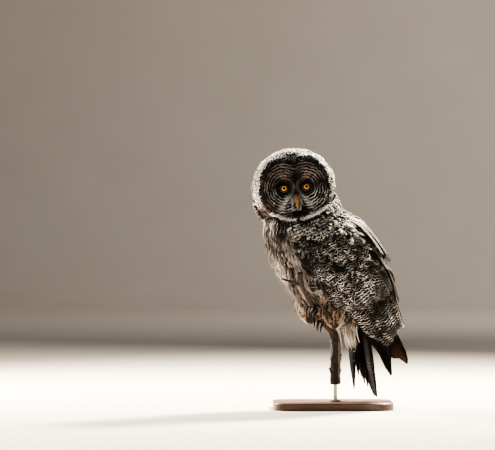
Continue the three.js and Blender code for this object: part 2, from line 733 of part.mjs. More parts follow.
const LOOKS = {
  plumage: paint(0x6f675c, 0.9),
  face: paint(0x77716a, 0.9),
  flight: paint(0x3f362e, 0.8),
  down: paint(0xb9ab98, 0.95),
  eye: paint(0xe0a21c, 0.1),
  bill: paint(0xb99a55, 0.45),
  claw: paint(0x17130f, 0.35),
  bark: paint(0x6a4c37, 0.9),
  wood: paint(0x3a2a20, 0.5),
  steel: paint(0x8c8c8c, 0.35, 1),
};

const owl = new THREE.Group();

function node(name, solid, look) {
  const { vertProperties, triVerts } = largest(solid).getMesh();
  const geometry = new THREE.BufferGeometry();
  geometry.setAttribute("position", new THREE.BufferAttribute(new Float32Array(vertProperties), 3));
  geometry.setIndex(new THREE.BufferAttribute(new Uint32Array(triVerts), 1));
  const mesh = new THREE.Mesh(geometry, LOOKS[look]);
  mesh.name = name;
  owl.add(mesh);
}

const parts = bodyParts();
const perch = perchShape();
const feetRoom = join([footShape(FEET.left, GAP), footShape(FEET.right, GAP), stemShape(GAP)]);
const tail = largest(tailShape().subtract(feetRoom));
const bodyRoom = torsoShape(GAP);
node("torso", parts.torso.subtract(feetRoom), "plumage");
node("neck", parts.neck, "plumage");
node("head", finishedHead(parts.head), "face");
node("bill_upper", billShape(BILL_TOP).subtract(nostril(1)).subtract(nostril(-1)), "bill");
node("bill_lower", billShape(BILL_LOW).subtract(billSpace(BILL_TOP)), "bill");
node("tail", tail, "flight");

for (const [name, side] of [["left", 1], ["right", -1]]) {
  const wing = largest(wingShape(side).subtract(tail));
  node(`eye_${name}`, eyeBall(side), "eye");
  node(`wing_${name}`, wing, "plumage");
  node(`leg_${name}`, legShape(LEGS[name]).subtract(bodyRoom).subtract(feetRoom).subtract(wing), "down");
  node(`foot_${name}`, finishedFoot(FEET[name]), "down");
  FEET[name].toes.forEach(([shift, turn], i) => {
    node(`claw_${name}_${i + 1}`, clawShape(gripFrame(FEET[name], shift), turn), "claw");
  });
}

node("perch", perch, "bark");
node("stand_base", baseShape(), "wood");
node("stand_rod", rodShape(), "steel");

export default owl;
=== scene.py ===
# %% [markdown]
# # A great grey owl as a museum would show it
# The real bird is a block of soft feathers over a small body, sitting on a thin sapling. The frame
# gives its true size and shape. This lesson dresses it: a skin, then every feather as a thin solid
# vane that follows the lie of the plumage, then eyes, bill, claws, bark and stand. Feathers could be
# particle hair, but hair can't be exported, so they are made as arrays of small meshes.

# %% Load the frame
import math

import bmesh
import bpy
import numpy as np
from mathutils import Matrix, Vector, noise
from mathutils.bvhtree import BVHTree
from mathutils.kdtree import KDTree


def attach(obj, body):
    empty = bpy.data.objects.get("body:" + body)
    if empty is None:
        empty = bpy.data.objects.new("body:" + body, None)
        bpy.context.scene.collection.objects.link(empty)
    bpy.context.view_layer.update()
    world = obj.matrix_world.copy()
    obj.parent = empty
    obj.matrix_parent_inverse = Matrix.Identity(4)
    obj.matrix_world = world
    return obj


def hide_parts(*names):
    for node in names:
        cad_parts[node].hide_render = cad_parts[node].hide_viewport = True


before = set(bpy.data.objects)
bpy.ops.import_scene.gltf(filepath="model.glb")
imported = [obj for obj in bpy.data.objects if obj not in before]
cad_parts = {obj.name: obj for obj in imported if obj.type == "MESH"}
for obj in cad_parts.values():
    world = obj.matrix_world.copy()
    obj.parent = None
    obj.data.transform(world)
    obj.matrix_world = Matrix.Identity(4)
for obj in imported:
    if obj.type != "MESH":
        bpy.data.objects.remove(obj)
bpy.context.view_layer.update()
MM = 0.001
draws = np.random.default_rng(20261)
print("frame:", len(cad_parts), "nodes")

# %% [markdown]
# ## Camera
# The photograph is taken from far away with a long lens, level with the bird. One pixel of it is
# 2.5 mm at the bird, and the bird sits right of the middle, so the camera looks past it.

# %% Camera
PIXEL = 2.5
FRAME_WIDE = 495 * PIXEL
AIM = (-213.75, 460.5)
DISTANCE = 8000
SENSOR = 36

camera = bpy.data.objects.new("camera", bpy.data.cameras.new("camera"))
camera.data.sensor_width = SENSOR
camera.data.lens = SENSOR * DISTANCE / FRAME_WIDE
camera.data.clip_end = 100
camera.location = (AIM[0] * MM, (-DISTANCE - 30) * MM, AIM[1] * MM)
camera.rotation_euler = (math.pi / 2, 0, 0)
bpy.context.scene.collection.objects.link(camera)
bpy.context.scene.camera = camera
bpy.context.scene.view_settings.look = "AgX - Medium High Contrast"
print("lens", round(camera.data.lens, 1), "mm")

# %% [markdown]
# ## The bird's own shape, in millimetres
# The frame's solids were drawn from a few tables of sections. They are repeated here, so that every
# feather grows where the solids say. Only the bill, the claws and the fan of the tail are a little
# different, to suit their finer shapes. The body has its own axes: left, front and up.

# %% Axes and tables
HEADING, LEAN = math.radians(70), math.radians(25)
BODY_CENTRE = np.array([-5, -6, 360.0])
AHEAD = np.array([-math.sin(HEADING), -math.cos(HEADING), 0])
LEFT = np.cross([0, 0, 1], AHEAD)
UP = AHEAD * math.sin(LEAN) + np.array([0, 0, math.cos(LEAN)])
FRONT = np.cross(LEFT, UP)
DOWN = np.array([0, 0, -1.0])

# Rows of height on the body, how far ahead the middle is, half the depth and half the width
TORSO = [
    [-158, -16, 22, 22], [-146, -17, 40, 38], [-122, -14, 62, 58], [-90, -8, 84, 80],
    [-50, -1, 104, 97], [0, 6, 120, 105], [50, 12, 121, 106], [90, 23, 109, 101],
    [110, 24, 107, 99], [135, 22, 105, 92], [168, 15, 97, 76], [200, 5, 74, 52],
]
CLOAK = [
    [-335, -54, 34, 20], [-290, -54, 44, 34], [-240, -53, 54, 54], [-190, -42, 70, 74],
    [-140, -32, 85, 94], [-90, -18, 107, 112], [-40, -8, 122, 120], [10, -3, 124, 123],
    [60, 4, 119, 121], [100, 13, 107, 111], [130, 18, 101, 105],
]


def between(rows, place):
    """Values at a place in rows of [place, value...], on a smooth curve through them."""
    table = np.array(rows, float)
    x, v = table[:, 0], table[:, 1:]
    last = len(x) - 1
    low, high = np.maximum(np.arange(last + 1) - 1, 0), np.minimum(np.arange(last + 1) + 1, last)
    slope = (v[high] - v[low]) / (x[high] - x[low])[:, None]
    at = np.clip(np.asarray(place, float), x[0], x[-1])
    k = np.clip(np.searchsorted(x, at, side="right") - 1, 0, last - 1)
    span = (x[k + 1] - x[k])[..., None]
    t = (at[..., None] - x[k][..., None]) / span
    value = (2 * t**3 - 3 * t**2 + 1) * v[k] + (t**3 - 2 * t**2 + t) * slope[k] * span
    return value + (3 * t**2 - 2 * t**3) * v[k + 1] + (t**3 - t**2) * slope[k + 1] * span


def mix(a, b, t):
    return a + (b - a) * t


def smooth(x, start, end):
    t = np.clip((np.asarray(x, float) - start) / (end - start), 0, 1)
    return t * t * (3 - 2 * t)


def bump(x, width):
    return np.exp(-((np.asarray(x, float) / width) ** 2))


def unit(v):
    return v / np.maximum(np.linalg.norm(v, axis=-1, keepdims=True), 1e-9)


def on_section(rows, up, angle, side=1, grow=0.0):
    """A point on an oval section of the body: angle 0 is the belly, 90 the side, 180 the back."""
    up, angle = np.broadcast_arrays(np.asarray(up, float), np.asarray(angle, float))
    values = between(rows, up)
    turn = np.radians(angle)
    left = side * (values[..., 2] + grow) * np.sin(turn)
    ahead = values[..., 0] + (values[..., 1] + grow) * np.cos(turn)
    return BODY_CENTRE + left[..., None] * LEFT + ahead[..., None] * FRONT + up[..., None] * UP


def body_point(left, ahead, up):
    return BODY_CENTRE + left * LEFT + ahead * FRONT + up * UP


# %% The head
HEAD_CENTRE = np.array([-98, -48, 558.0])
HEAD_TURN, HEAD_TILT = math.radians(4), math.radians(4.6)
WIDTH, HEIGHT, FACE_DEEP, BACK_DEEP = 101, 92, 70, 92
SHIFT = -2
DISC = {"apart": 31, "wide": 49, "high": 69, "low": -5, "deep": 15}
RIM = {"proud": 4.5, "reach": 1.07, "wide": 0.1}
LORES = {"proud": 7, "down": 38, "wide": 11, "high": 20}
SQUARENESS = 2.6
EYE = {"apart": 26.4, "low": -5, "proud": 5, "outwards": 7, "radius": 12, "bulge": 1.3, "back": 0.4}
CHEEK = {"turn": math.radians(221), "swell": 0.17, "wide": 0.45}
HEAD_AXES = np.array(Matrix.Rotation(-HEAD_TILT, 3, "Y") @ Matrix.Rotation(HEAD_TURN, 3, "Z"))


def in_world(p):
    return p @ HEAD_AXES.T + HEAD_CENTRE


def in_head(p):
    return (p - HEAD_CENTRE) @ HEAD_AXES


def disc_reach(x, z):
    """How far a point of the face is from the nearer dish's middle, 1 at the rim."""
    sides = [
        np.hypot((x - SHIFT - side * DISC["apart"]) / DISC["wide"], (z - DISC["low"]) / DISC["high"])
        for side in (1, -1)
    ]
    return np.minimum(*sides)


def face_front(x, z):
    """How far the face stands ahead of the head's middle, with its dishes, their rim and the lores."""
    out = np.minimum(1, np.hypot(x / WIDTH, z / HEIGHT))
    reach = disc_reach(x, z)
    dish = np.where(reach < 1, DISC["deep"] * (1 - np.minimum(reach, 1) ** 2) ** 2, 0)
    rim = RIM["proud"] * bump(reach - RIM["reach"], RIM["wide"])
    lores = LORES["proud"] * bump(x - SHIFT, LORES["wide"]) * bump(z + LORES["down"], LORES["high"])
    return FACE_DEEP * (1 - out**SQUARENESS) ** (1 / SQUARENESS) - dish + rim + lores


def head_surface(polar, turn):
    """Polar runs from the face's middle to the back of the head, turn round the face."""
    polar, turn = np.broadcast_arrays(np.asarray(polar, float), np.asarray(turn, float))
    turn = turn % (2 * np.pi)
    swell = CHEEK["swell"] * bump(turn - CHEEK["turn"], CHEEK["wide"]) * smooth(np.sin(polar), 0.8, 1)
    out = np.sin(polar) * (1 + swell)
    x, z = WIDTH * out * np.cos(turn), HEIGHT * out * np.sin(turn)
    y = np.where(polar < np.pi / 2, -face_front(x, z), -BACK_DEEP * np.cos(polar))
    return in_world(np.stack([x, y, z], axis=-1))


def normals_of(surface, u, v, du, dv):
    """The way out of a closed surface, and the way along it as u grows."""
    along = surface(u + du, v) - surface(u - du, v)
    round_it = surface(u, v + dv) - surface(u, v - dv)
    return unit(np.cross(along, round_it)), unit(along)


print("eyes", 2 * EYE["apart"], "mm apart")

# %% [markdown]
# ## The sapling's line, the feet and the legs
# The perch is a curved stem. Its centre line is a smooth curve through a dozen points, and toes wrap
# round it, two on each side, as an owl's do. The feathered legs are short ovals along a line.

# %% Stem, feet and legs
STEM = np.array([  # x, y and z of the centre line, and its radius
    [6, -20, 62, 13.5], [6, -20, 100, 13.3], [7, -20, 140, 12.8], [6, -20, 170, 11.8],
    [-1, -22, 194, 10.4], [-18, -27, 212, 9.2], [-33, -33, 232, 8.2], [-47, -43, 252, 7.4],
    [-62, -62, 278, 6.8], [-74, -84, 300, 6.8], [-81, -100, 320, 6.4], [-84, -112, 342, 6],
])


def curve_at(points, t):
    """A point on a smooth curve through points, with knots spaced by the root of their distance."""
    last = len(points) - 1
    place = np.clip(t, 0, 1) * last
    k = int(min(last - 1, math.floor(place)))
    w = place - k
    p1, p2 = points[k], points[k + 1]
    p0 = points[k - 1] if k > 0 else 2 * p1 - p2
    p3 = points[k + 2] if k + 2 <= last else 2 * p2 - p1
    d0, d1, d2 = (max(1e-4, np.linalg.norm(b - a) ** 0.5) for a, b in ((p0, p1), (p1, p2), (p2, p3)))
    m1 = ((p1 - p0) / d0 - (p2 - p0) / (d0 + d1) + (p2 - p1) / d1) * d1
    m2 = ((p2 - p1) / d1 - (p3 - p1) / (d1 + d2) + (p3 - p2) / d2) * d1
    return p1 + m1 * w + (3 * (p2 - p1) - 2 * m1 - m2) * w**2 + (2 * (p1 - p2) + m1 + m2) * w**3


def stem_at(t):
    place = np.clip(t, 0, 1) * (len(STEM) - 1)
    k = int(min(len(STEM) - 2, math.floor(place)))
    radius = mix(STEM[k][3], STEM[k + 1][3], place - k)
    way = unit(curve_at(STEM[:, :3], t + 0.002) - curve_at(STEM[:, :3], t - 0.002))
    return curve_at(STEM[:, :3], t), way, radius


stem_points = [curve_at(STEM[:, :3], k / 200) for k in range(201)]
STEM_LENGTH = sum(np.linalg.norm(b - a) for a, b in zip(stem_points, stem_points[1:]))
FEET = {  # place along the stem, and each toe's shift from it and side of the stem
    "left": {"grip": 0.52, "toes": [(-9, 1), (5, 1), (-5, -1), (9, -1)]},
    "right": {"grip": 0.645, "toes": [(-8, 1), (5, 1), (-6, -1), (8, -1)]},
}
TOE_RADIUS, TOE_GAP = 5.6, 0.6
TOE_FROM, TOE_TO = 10, 118
PAST_STEM = FRONT * 0.85 + np.array([0, 0, -0.35])
LEGS = {  # left, ahead and up on the body of each end, and half width and depth from top to bottom
    "left": {
        "top": (50, 28, -60), "bottom": (42, 76, -146), "sizes": [[36, 40], [38, 44], [30, 34], [15, 16]],
    },
    "right": {
        "top": (-40, 54, -40), "bottom": (-24, 109, -118), "sizes": [[40, 40], [42, 46], [34, 38], [16, 17]],
    },
}


def grip_frame(foot, shift):
    """Where a toe holds the stem: its centre, the ways past it and across it, and its radius."""
    centre, way, radius = stem_at(foot["grip"] + shift / STEM_LENGTH)
    away = unit(PAST_STEM - way * (PAST_STEM @ way))
    return centre, away, np.cross(way, away), radius


def toe_point(grip, side, degrees):
    centre, away, across, radius = grip
    turn = np.radians(np.asarray(degrees, float))
    off = -away * np.cos(turn)[..., None] + across * side * np.sin(turn)[..., None]
    return centre + off * (radius + TOE_RADIUS + TOE_GAP)


def toe_surface(grip, side, grow):
    """A toe's skin: degrees round the stem, and turn round the toe itself."""
    def surface(degrees, turn):
        degrees, turn = np.broadcast_arrays(np.asarray(degrees, float), np.asarray(turn, float))
        centre = toe_point(grip, side, degrees)
        out = unit(centre - grip[0])
        way = unit(toe_point(grip, side, degrees + 1) - toe_point(grip, side, degrees - 1))
        across = np.cross(way, out)
        share = (degrees - TOE_FROM) / (TOE_TO - TOE_FROM)
        knuckle = 1 + 0.1 * np.cos(share * 9.5)
        size = (TOE_RADIUS * mix(1, 0.72, smooth(share, 0.5, 1)) * knuckle + grow)[..., None]
        return centre + size * (out * np.cos(turn)[..., None] + across * np.sin(turn)[..., None])

    return surface


def leg_surface(name):
    """A feathered thigh: share of its length, and turn round it."""
    leg = LEGS[name]
    top, bottom = body_point(*leg["top"]), body_point(*leg["bottom"])
    way = unit(bottom - top)
    left = unit(LEFT - way * (LEFT @ way))
    ahead = np.cross(left, way)
    rows = [[k / 3, *size] for k, size in enumerate(leg["sizes"])]

    def surface(share, turn):
        share, turn = np.broadcast_arrays(np.asarray(share, float), np.asarray(turn, float))
        size = between(rows, share)
        end = np.sqrt(np.clip(1 - (np.clip(share - 0.9, 0, 1) / 0.12) ** 2, 0.05, 1))
        wide, deep = size[..., 0] * end, size[..., 1] * end
        centre = top + (bottom - top) * share[..., None]
        return centre + (wide * np.cos(turn))[..., None] * left + (deep * np.sin(turn))[..., None] * ahead

    return surface


print("stem", round(float(STEM_LENGTH)), "mm long")

# %% [markdown]
# ## The tail's line
# Twelve feathers hang almost straight down, stacked with the middle pair outermost. Places on the
# tail are given to its left, out from its back and down from its root.

# %% Tail line
TAIL = {"root": body_point(0, -22, -126), "count": 12, "width": 32, "heading": math.radians(56)}
TAIL_SPREAD = [  # share from the bird's right to its left, turn out of line, length
    [-1, -8.6, 216], [-0.82, -4, 172], [-0.45, -1, 198], [0, 2, 218], [0.4, 3, 226], [1, 4.5, 225],
]
TAIL_STACK = 1.6
TAIL_WAY = unit(np.array([0.12, 0.04, -1]))
TAIL_LEFT = np.array([math.cos(TAIL["heading"]), -math.sin(TAIL["heading"]), 0])
TAIL_BACK = unit(np.cross(TAIL_LEFT, TAIL_WAY))


def tail_point(left, back, down):
    left, back, down = np.broadcast_arrays(*(np.asarray(a, float) for a in (left, back, down)))
    place = left[..., None] * TAIL_LEFT + back[..., None] * TAIL_BACK + down[..., None] * TAIL_WAY
    return TAIL["root"] + place


print("tail root at", np.round(TAIL["root"]), "mm")

# %% [markdown]
# ## One skin
# Under the feathers is one skin without seams. It could be sculpted, but it never shows, so it is
# lofted from the same sections, pulled in by the depth of the plumage, and joined by a voxel remesh.

# %% Lofts from rings
BODY_COAT, HEAD_COAT, LEG_COAT, TOE_COAT, WING_COAT = 7, 5, 6, 1.4, 9


def turns_round(count):
    return np.arange(count) * 2 * np.pi / count


def add_loft(bm, rings):
    """Rings of points, each a circle made and set in place, bridged to the next and closed at both ends."""
    loops = []
    for ring in rings:
        verts = bmesh.ops.create_circle(bm, segments=len(ring), radius=1)["verts"]
        for vert, place in zip(verts, ring):
            vert.co = Vector(place) * MM
        loops.append(list({edge for vert in verts for edge in vert.link_edges}))
    for low, high in zip(loops, loops[1:]):
        bmesh.ops.bridge_loops(bm, edges=low + high)
    for end in (loops[0], loops[-1]):
        bmesh.ops.contextual_create(bm, geom=end)
    bmesh.ops.recalc_face_normals(bm, faces=bm.faces)


def put(bm, name, material=None, smooth_faces=True):
    mesh = bpy.data.meshes.new(name)
    bm.to_mesh(mesh)
    bm.free()
    return show(mesh, name, material, smooth_faces)


def show(mesh, name, material=None, smooth_faces=True):
    piece = bpy.data.objects.new(name, mesh)
    bpy.context.scene.collection.objects.link(piece)
    if smooth_faces:
        mesh.polygons.foreach_set("use_smooth", np.ones(len(mesh.polygons), bool))
    if material:
        mesh.materials.append(material)
    print(name + ":", len(mesh.polygons), "faces")
    return piece


def applied(piece):
    """The piece with its modifiers made part of its mesh."""
    depsgraph = bpy.context.evaluated_depsgraph_get()
    mesh = bpy.data.meshes.new_from_object(piece.evaluated_get(depsgraph))
    old = piece.data
    piece.modifiers.clear()
    piece.data = mesh
    bpy.data.meshes.remove(old)
    return piece


def rings_of(surface, places, count, grow):
    """Rings round a surface at each place along it, moved outwards by grow."""
    rings = []
    turns = turns_round(count)
    for place in places:
        out, _ = normals_of(surface, np.full(count, float(place)), turns, 0.01, 0.01)
        rings.append(surface(place, turns) + out * grow)
    return rings


# %% Join the lofts into the skin
CORE_UPS, WING_FRONT = (-118, 112), 41
PALM, RUMP = (11, 7, 14), (30, 26, 45)
VOXEL = 2.6


def body_surface(up, turn):
    return on_section(TORSO, up, np.degrees(turn))


def add_ball(bm, middle, axes, halves, segments, rings):
    """A ball squeezed to half sizes along its own three axes."""
    ball = bmesh.ops.create_uvsphere(bm, u_segments=segments, v_segments=rings, radius=1)["verts"]
    sizes = Matrix.Diagonal((*(half * MM for half in halves), 1))
    place = Matrix.Translation(Vector(middle) * MM) @ Matrix(np.stack(axes, axis=1)).to_4x4() @ sizes
    bmesh.ops.transform(bm, matrix=place, verts=ball)


def wing_core(side):
    """The part of the folded wing that lies on the body, as closed rings from its front to the back."""
    rings = []
    for up in np.linspace(*CORE_UPS, 22):
        angles = np.linspace(WING_FRONT, 184, 26)
        body = on_section(TORSO, up, angles, side, -WING_COAT - 1)
        kept = smooth(angles, WING_FRONT, 62) * smooth(up, -150, -112) * (1 - smooth(up, 104, 116))
        outer = mix(body, on_section(CLOAK, up, angles, side, -WING_COAT), kept[:, None])
        inner = on_section(TORSO, up, angles[::-1], side, -WING_COAT - 8)
        rings.append(np.concatenate([outer, inner]))
    return rings


def skin_mesh():
    bm = bmesh.new()
    ups = np.concatenate([[-158, -154, -148], np.linspace(-140, 200, 40)])
    add_loft(bm, [on_section(TORSO, up, np.arange(72) * 5.0, 1, -BODY_COAT) for up in ups])
    polars = np.radians(np.concatenate([[2], np.arange(5, 176, 3.0), [178]]))
    add_loft(bm, rings_of(head_surface, polars, 120, -HEAD_COAT))
    for side in (1, -1):
        add_loft(bm, wing_core(side))
    for name in LEGS:
        add_loft(bm, rings_of(leg_surface(name), np.linspace(-0.1, 1, 24), 40, -LEG_COAT))
    for foot in FEET.values():
        for shift, side in foot["toes"]:
            toe = toe_surface(grip_frame(foot, shift), side, -TOE_COAT)
            add_loft(bm, [toe(place, turns_round(16)) for place in np.linspace(TOE_FROM, TOE_TO, 12)])
        centre, away, across, radius = grip_frame(foot, 0)
        palm = centre - away * (radius + TOE_RADIUS + 1)
        add_ball(bm, palm, (across, away, np.cross(across, away)), PALM, 24, 16)
    add_ball(bm, tail_point(0, -3, 4), (TAIL_LEFT, TAIL_BACK, -TAIL_WAY), RUMP, 32, 24)
    return bm


skin = put(skin_mesh(), "skin")
remesh = skin.modifiers.new("join", "REMESH")
remesh.mode = "VOXEL"
remesh.voxel_size = VOXEL * MM
soften = skin.modifiers.new("soften", "SMOOTH")
soften.factor = 0.5
soften.iterations = 3
applied(skin)
skin.data.polygons.foreach_set("use_smooth", np.ones(len(skin.data.polygons), bool))
print("joined skin:", len(skin.data.polygons), "faces")

# %% An unwrap of the skin, for the coat's bake map
def read(items, label, wide):
    """A property of many mesh items, as rows of numbers."""
    values = np.empty(len(items) * wide)
    items.foreach_get(label, values)
    return values.reshape(-1, wide)


bpy.context.view_layer.objects.active = skin
skin.select_set(True)
bpy.ops.object.mode_set(mode="EDIT")
bpy.ops.mesh.select_all(action="SELECT")
bpy.ops.uv.smart_project(angle_limit=math.radians(72), island_margin=0.002)
bpy.ops.object.mode_set(mode="OBJECT")
skin.data.uv_layers[0].name = "OFBake"

skin_points = read(skin.data.vertices, "co", 3) / MM
skin_normals = read(skin.data.vertices, "normal", 3)
skin_uvs = read(skin.data.uv_layers["OFBake"].data, "uv", 2)
skin_faces = [tuple(polygon.vertices) for polygon in skin.data.polygons]
first_corner = np.array([polygon.loop_start for polygon in skin.data.polygons])
skin_tree = BVHTree.FromPolygons([tuple(point) for point in skin_points], skin_faces)
print("unwrapped", len(first_corner), "faces")


def on_skin(points):
    """For each point: the nearest place on the skin, the way out there, its distance and its bake place."""
    places, _, faces, gaps = zip(*(skin_tree.find_nearest(Vector(point)) for point in points))
    faces = np.array(faces)
    corners = np.array([(*skin_faces[face], skin_faces[face][0])[:4] for face in faces])
    out = unit(skin_normals[corners].mean(axis=1))
    return np.array(places), out, np.array(gaps), skin_uvs[first_corner[faces]]


# %% [markdown]
# ## How a feather is made
# Each feather is a thin closed vane on a bent path: a row of points across it is repeated along the
# path, its top face is raised at the shaft and its under face is flat. Thousands are worked out at
# once. Its corners carry what the colour needs: the place across and along the vane, a random draw,
# a dark and a pale colour, and how strong its bars, its shaft streak and its pale fringe are.

# %% Feather builder
CROSS = {  # places across a vane, and how high the top face stands there
    3: ([-1, 0, 1], [0, 1, 0]),
    5: ([-1, -0.5, 0, 0.5, 1], [0, 0.75, 1, 0.75, 0]),
    7: ([-1, -0.55, -0.07, 0, 0.07, 0.55, 1], [0, 0.35, 0.45, 1, 0.45, 0.35, 0]),
}


def linear(text):
    """An sRGB hex colour as linear red, green and blue."""
    values = np.array([int(text[i:i + 2], 16) / 255 for i in (1, 3, 5)])
    return np.where(values <= 0.04045, values / 12.92, ((values + 0.055) / 1.055) ** 2.4)


def leaf(t, blunt, start, end, point):
    """Share of the full width along a vane, which closes past blunt, to a round end or to a point."""
    grown = mix(start, 1, smooth(t, 0, 0.4))
    tip = np.clip((t - blunt) / (1 - blunt), 0, 1)
    rounded = np.sqrt(np.clip(1 - tip**2.4 * (1 - end**2), 0, 1))
    return grown * mix(rounded, 1 - (1 - end) * tip**1.3, point)


def vanes(path, out, width, looks, bake, columns=3, rows=4, blunt=0.6, start=0.45, end=0.12, point=0.0,
          thick=0.5, roll=0.0, ragged=0.0, cup=0.0, spread=0.003):
    """Arrays for many vanes. path(t) and out(t) give (N, 3) for a share t of the length."""
    shares = np.linspace(0, 1, rows) ** 0.9
    places, heights = (np.array(row, float) for row in CROSS[columns])
    count = len(width)
    roll = np.broadcast_to(roll, count)[:, None]
    verts = np.empty((count, rows, columns, 3))
    along = np.zeros((count, rows))
    before = path(0)
    for k, t in enumerate(shares):
        here = path(t)
        way = unit(path(min(1, t + 0.02)) - path(max(0, t - 0.02)))
        up = out(t)
        up = unit(up - way * (up * way).sum(axis=1, keepdims=True))
        across = np.cross(way, up) * np.cos(roll) + up * np.sin(roll)
        along[:, k] = along[:, max(0, k - 1)] + np.linalg.norm(here - before, axis=1)
        before = here
        half = width / 2 * leaf(t, blunt, start, end, point)
        torn = 1 + ragged * draws.uniform(-1, 0.4, (count, columns)) * np.abs(places)
        edges = half[:, None] * places * torn
        lift = thick * mix(1, 0.5, t) * heights - cup * half[:, None] * places**2
        verts[:, k] = here[:, None] + edges[..., None] * across[:, None] + lift[..., None] * up[:, None]
    grid = (count, rows, columns)
    vane = np.stack([
        np.broadcast_to(places, grid),
        np.broadcast_to(along[:, :, None], grid),
        np.broadcast_to(shares[None, :, None], grid),
    ], axis=-1)
    return {"verts": verts, "vane": vane, "looks": looks, "bake": bake,
            "spread": np.broadcast_to(spread, (count, 2))}


def vane_faces(rows, columns):
    """One vane's faces: quads over the top, one quad under each row, and a cap at each end."""
    quads = []
    for i in range(rows - 1):
        for j in range(columns - 1):
            a = i * columns + j
            quads.append((a, a + 1, a + 1 + columns, a + columns))
        a = i * columns
        quads.append((a + columns - 1, a, a + columns, a + 2 * columns - 1))
    first = tuple(range(columns - 1, -1, -1))
    last = tuple((rows - 1) * columns + j for j in range(columns))
    return np.array(quads), np.array([first, last])


print("a breast feather has", sum(len(faces) for faces in vane_faces(6, 3)), "faces")


def coat(name, groups, material):
    """One mesh of many vanes, with its maps and colours."""
    points, corners, starts, sizes = [], [], [], []
    vane, draw, deep, pale, marks, bake = [], [], [], [], [], []
    base = corner = 0
    for group in groups:
        count, rows, columns, _ = group["verts"].shape
        per = rows * columns
        offsets = base + np.arange(count)[:, None, None] * per
        for faces in vane_faces(rows, columns):
            index = (faces[None] + offsets).reshape(-1, faces.shape[1])
            corners.append(index.ravel())
            starts.append(corner + np.arange(len(index)) * faces.shape[1])
            sizes.append(np.full(len(index), faces.shape[1]))
            corner += index.size
        points.append(group["verts"].reshape(-1, 3))
        vane.append(group["vane"].reshape(-1, 3))
        looks = group["looks"]
        for store, key in ((draw, "draw"), (deep, "deep"), (pale, "pale"), (marks, "marks")):
            store.append(np.repeat(np.asarray(looks[key], float), per, axis=0))
        patch = np.stack([(group["vane"][..., 0] + 1) / 2, group["vane"][..., 2]], axis=-1) - 0.5
        patch = group["bake"][:, None, None] + patch * group["spread"][:, None, None]
        bake.append(patch.reshape(-1, 2))
        base += count * per
    mesh = bpy.data.meshes.new(name)
    points = np.concatenate(points) * MM
    corners = np.concatenate(corners)
    mesh.vertices.add(len(points))
    mesh.vertices.foreach_set("co", points.ravel())
    mesh.loops.add(len(corners))
    mesh.loops.foreach_set("vertex_index", corners)
    order = np.concatenate(starts)
    mesh.polygons.add(len(order))
    mesh.polygons.foreach_set("loop_start", order)
    mesh.polygons.foreach_set("loop_total", np.concatenate(sizes))
    mesh.update(calc_edges=True)
    uv = mesh.uv_layers.new(name="OFBake")
    uv.data.foreach_set("uv", np.concatenate(bake)[corners].ravel())
    for label, kind, values in (
        ("vane", "FLOAT_VECTOR", np.concatenate(vane)), ("marks", "FLOAT_VECTOR", np.concatenate(marks)),
        ("deep", "FLOAT_COLOR", np.concatenate(deep)), ("pale", "FLOAT_COLOR", np.concatenate(pale)),
    ):
        layer = mesh.attributes.new(label, kind, "POINT")
        if kind == "FLOAT_COLOR":
            values = np.column_stack([values, np.ones(len(values))])
        layer.data.foreach_set("color" if kind == "FLOAT_COLOR" else "vector", values.ravel())
    mesh.attributes.new("draw", "FLOAT", "POINT").data.foreach_set("value", np.concatenate(draw))
    mesh.validate()
    triangles = int(sum(np.concatenate(sizes) - 2))
    print(name, len(order), "faces,", triangles, "triangles")
    return show(mesh, name, material)


# %% Scattering roots over a surface
NEIGHBOURS = [(a, b, c) for a in (-1, 0, 1) for b in (-1, 0, 1) for c in (-1, 0, 1)]


def scatter(surface, u_range, v_range, spacing, fine=90):
    """Evenly random roots on a surface of two numbers, no two nearer than the spacing."""
    us, vs = (np.linspace(*r, fine + 1) for r in (u_range, v_range))
    middle_u, middle_v = np.meshgrid((us[1:] + us[:-1]) / 2, (vs[1:] + vs[:-1]) / 2, indexing="ij")
    du, dv = us[1] - us[0], vs[1] - vs[0]
    along_u = surface(middle_u + du / 2, middle_v) - surface(middle_u - du / 2, middle_v)
    along_v = surface(middle_u, middle_v + dv / 2) - surface(middle_u, middle_v - dv / 2)
    area = np.linalg.norm(np.cross(along_u, along_v), axis=-1).ravel()
    tries = int(area.sum() / spacing**2 * 3)
    cell = draws.choice(len(area), tries, p=area / area.sum())
    u = middle_u.ravel()[cell] + draws.uniform(-0.5, 0.5, tries) * du
    v = middle_v.ravel()[cell] + draws.uniform(-0.5, 0.5, tries) * dv
    points = surface(u, v)
    kept, cells = [], {}
    near = spacing**2
    for i, (px, py, pz) in enumerate(points.tolist()):
        x, y, z = int(px // spacing), int(py // spacing), int(pz // spacing)
        around = (q for a, b, c in NEIGHBOURS for q in cells.get((x + a, y + b, z + c), ()))
        if all((px - qx) ** 2 + (py - qy) ** 2 + (pz - qz) ** 2 >= near for qx, qy, qz in around):
            cells.setdefault((x, y, z), []).append((px, py, pz))
            kept.append(i)
    return u[kept], v[kept], points[kept]


def rooted(surface, u_range, v_range, spacing, depth, fine=90):
    """Scattered roots, without those that stand more than depth off the skin."""
    u, v, roots = scatter(surface, u_range, v_range, spacing, fine)
    _, _, gap, _ = on_skin(roots)
    near = gap < depth
    return u[near], v[near], roots[near]


SWELLS = draws.normal(0, 1, (7, 3))
SUNK = 1.0


def swell(points, size):
    """Smooth ups and downs over space, about size across, between -1 and 1."""
    waves = np.sin(points @ SWELLS.T * (2.4 / size) + np.arange(len(SWELLS)))
    return np.clip(waves.sum(axis=1) / 2.6, -1, 1)


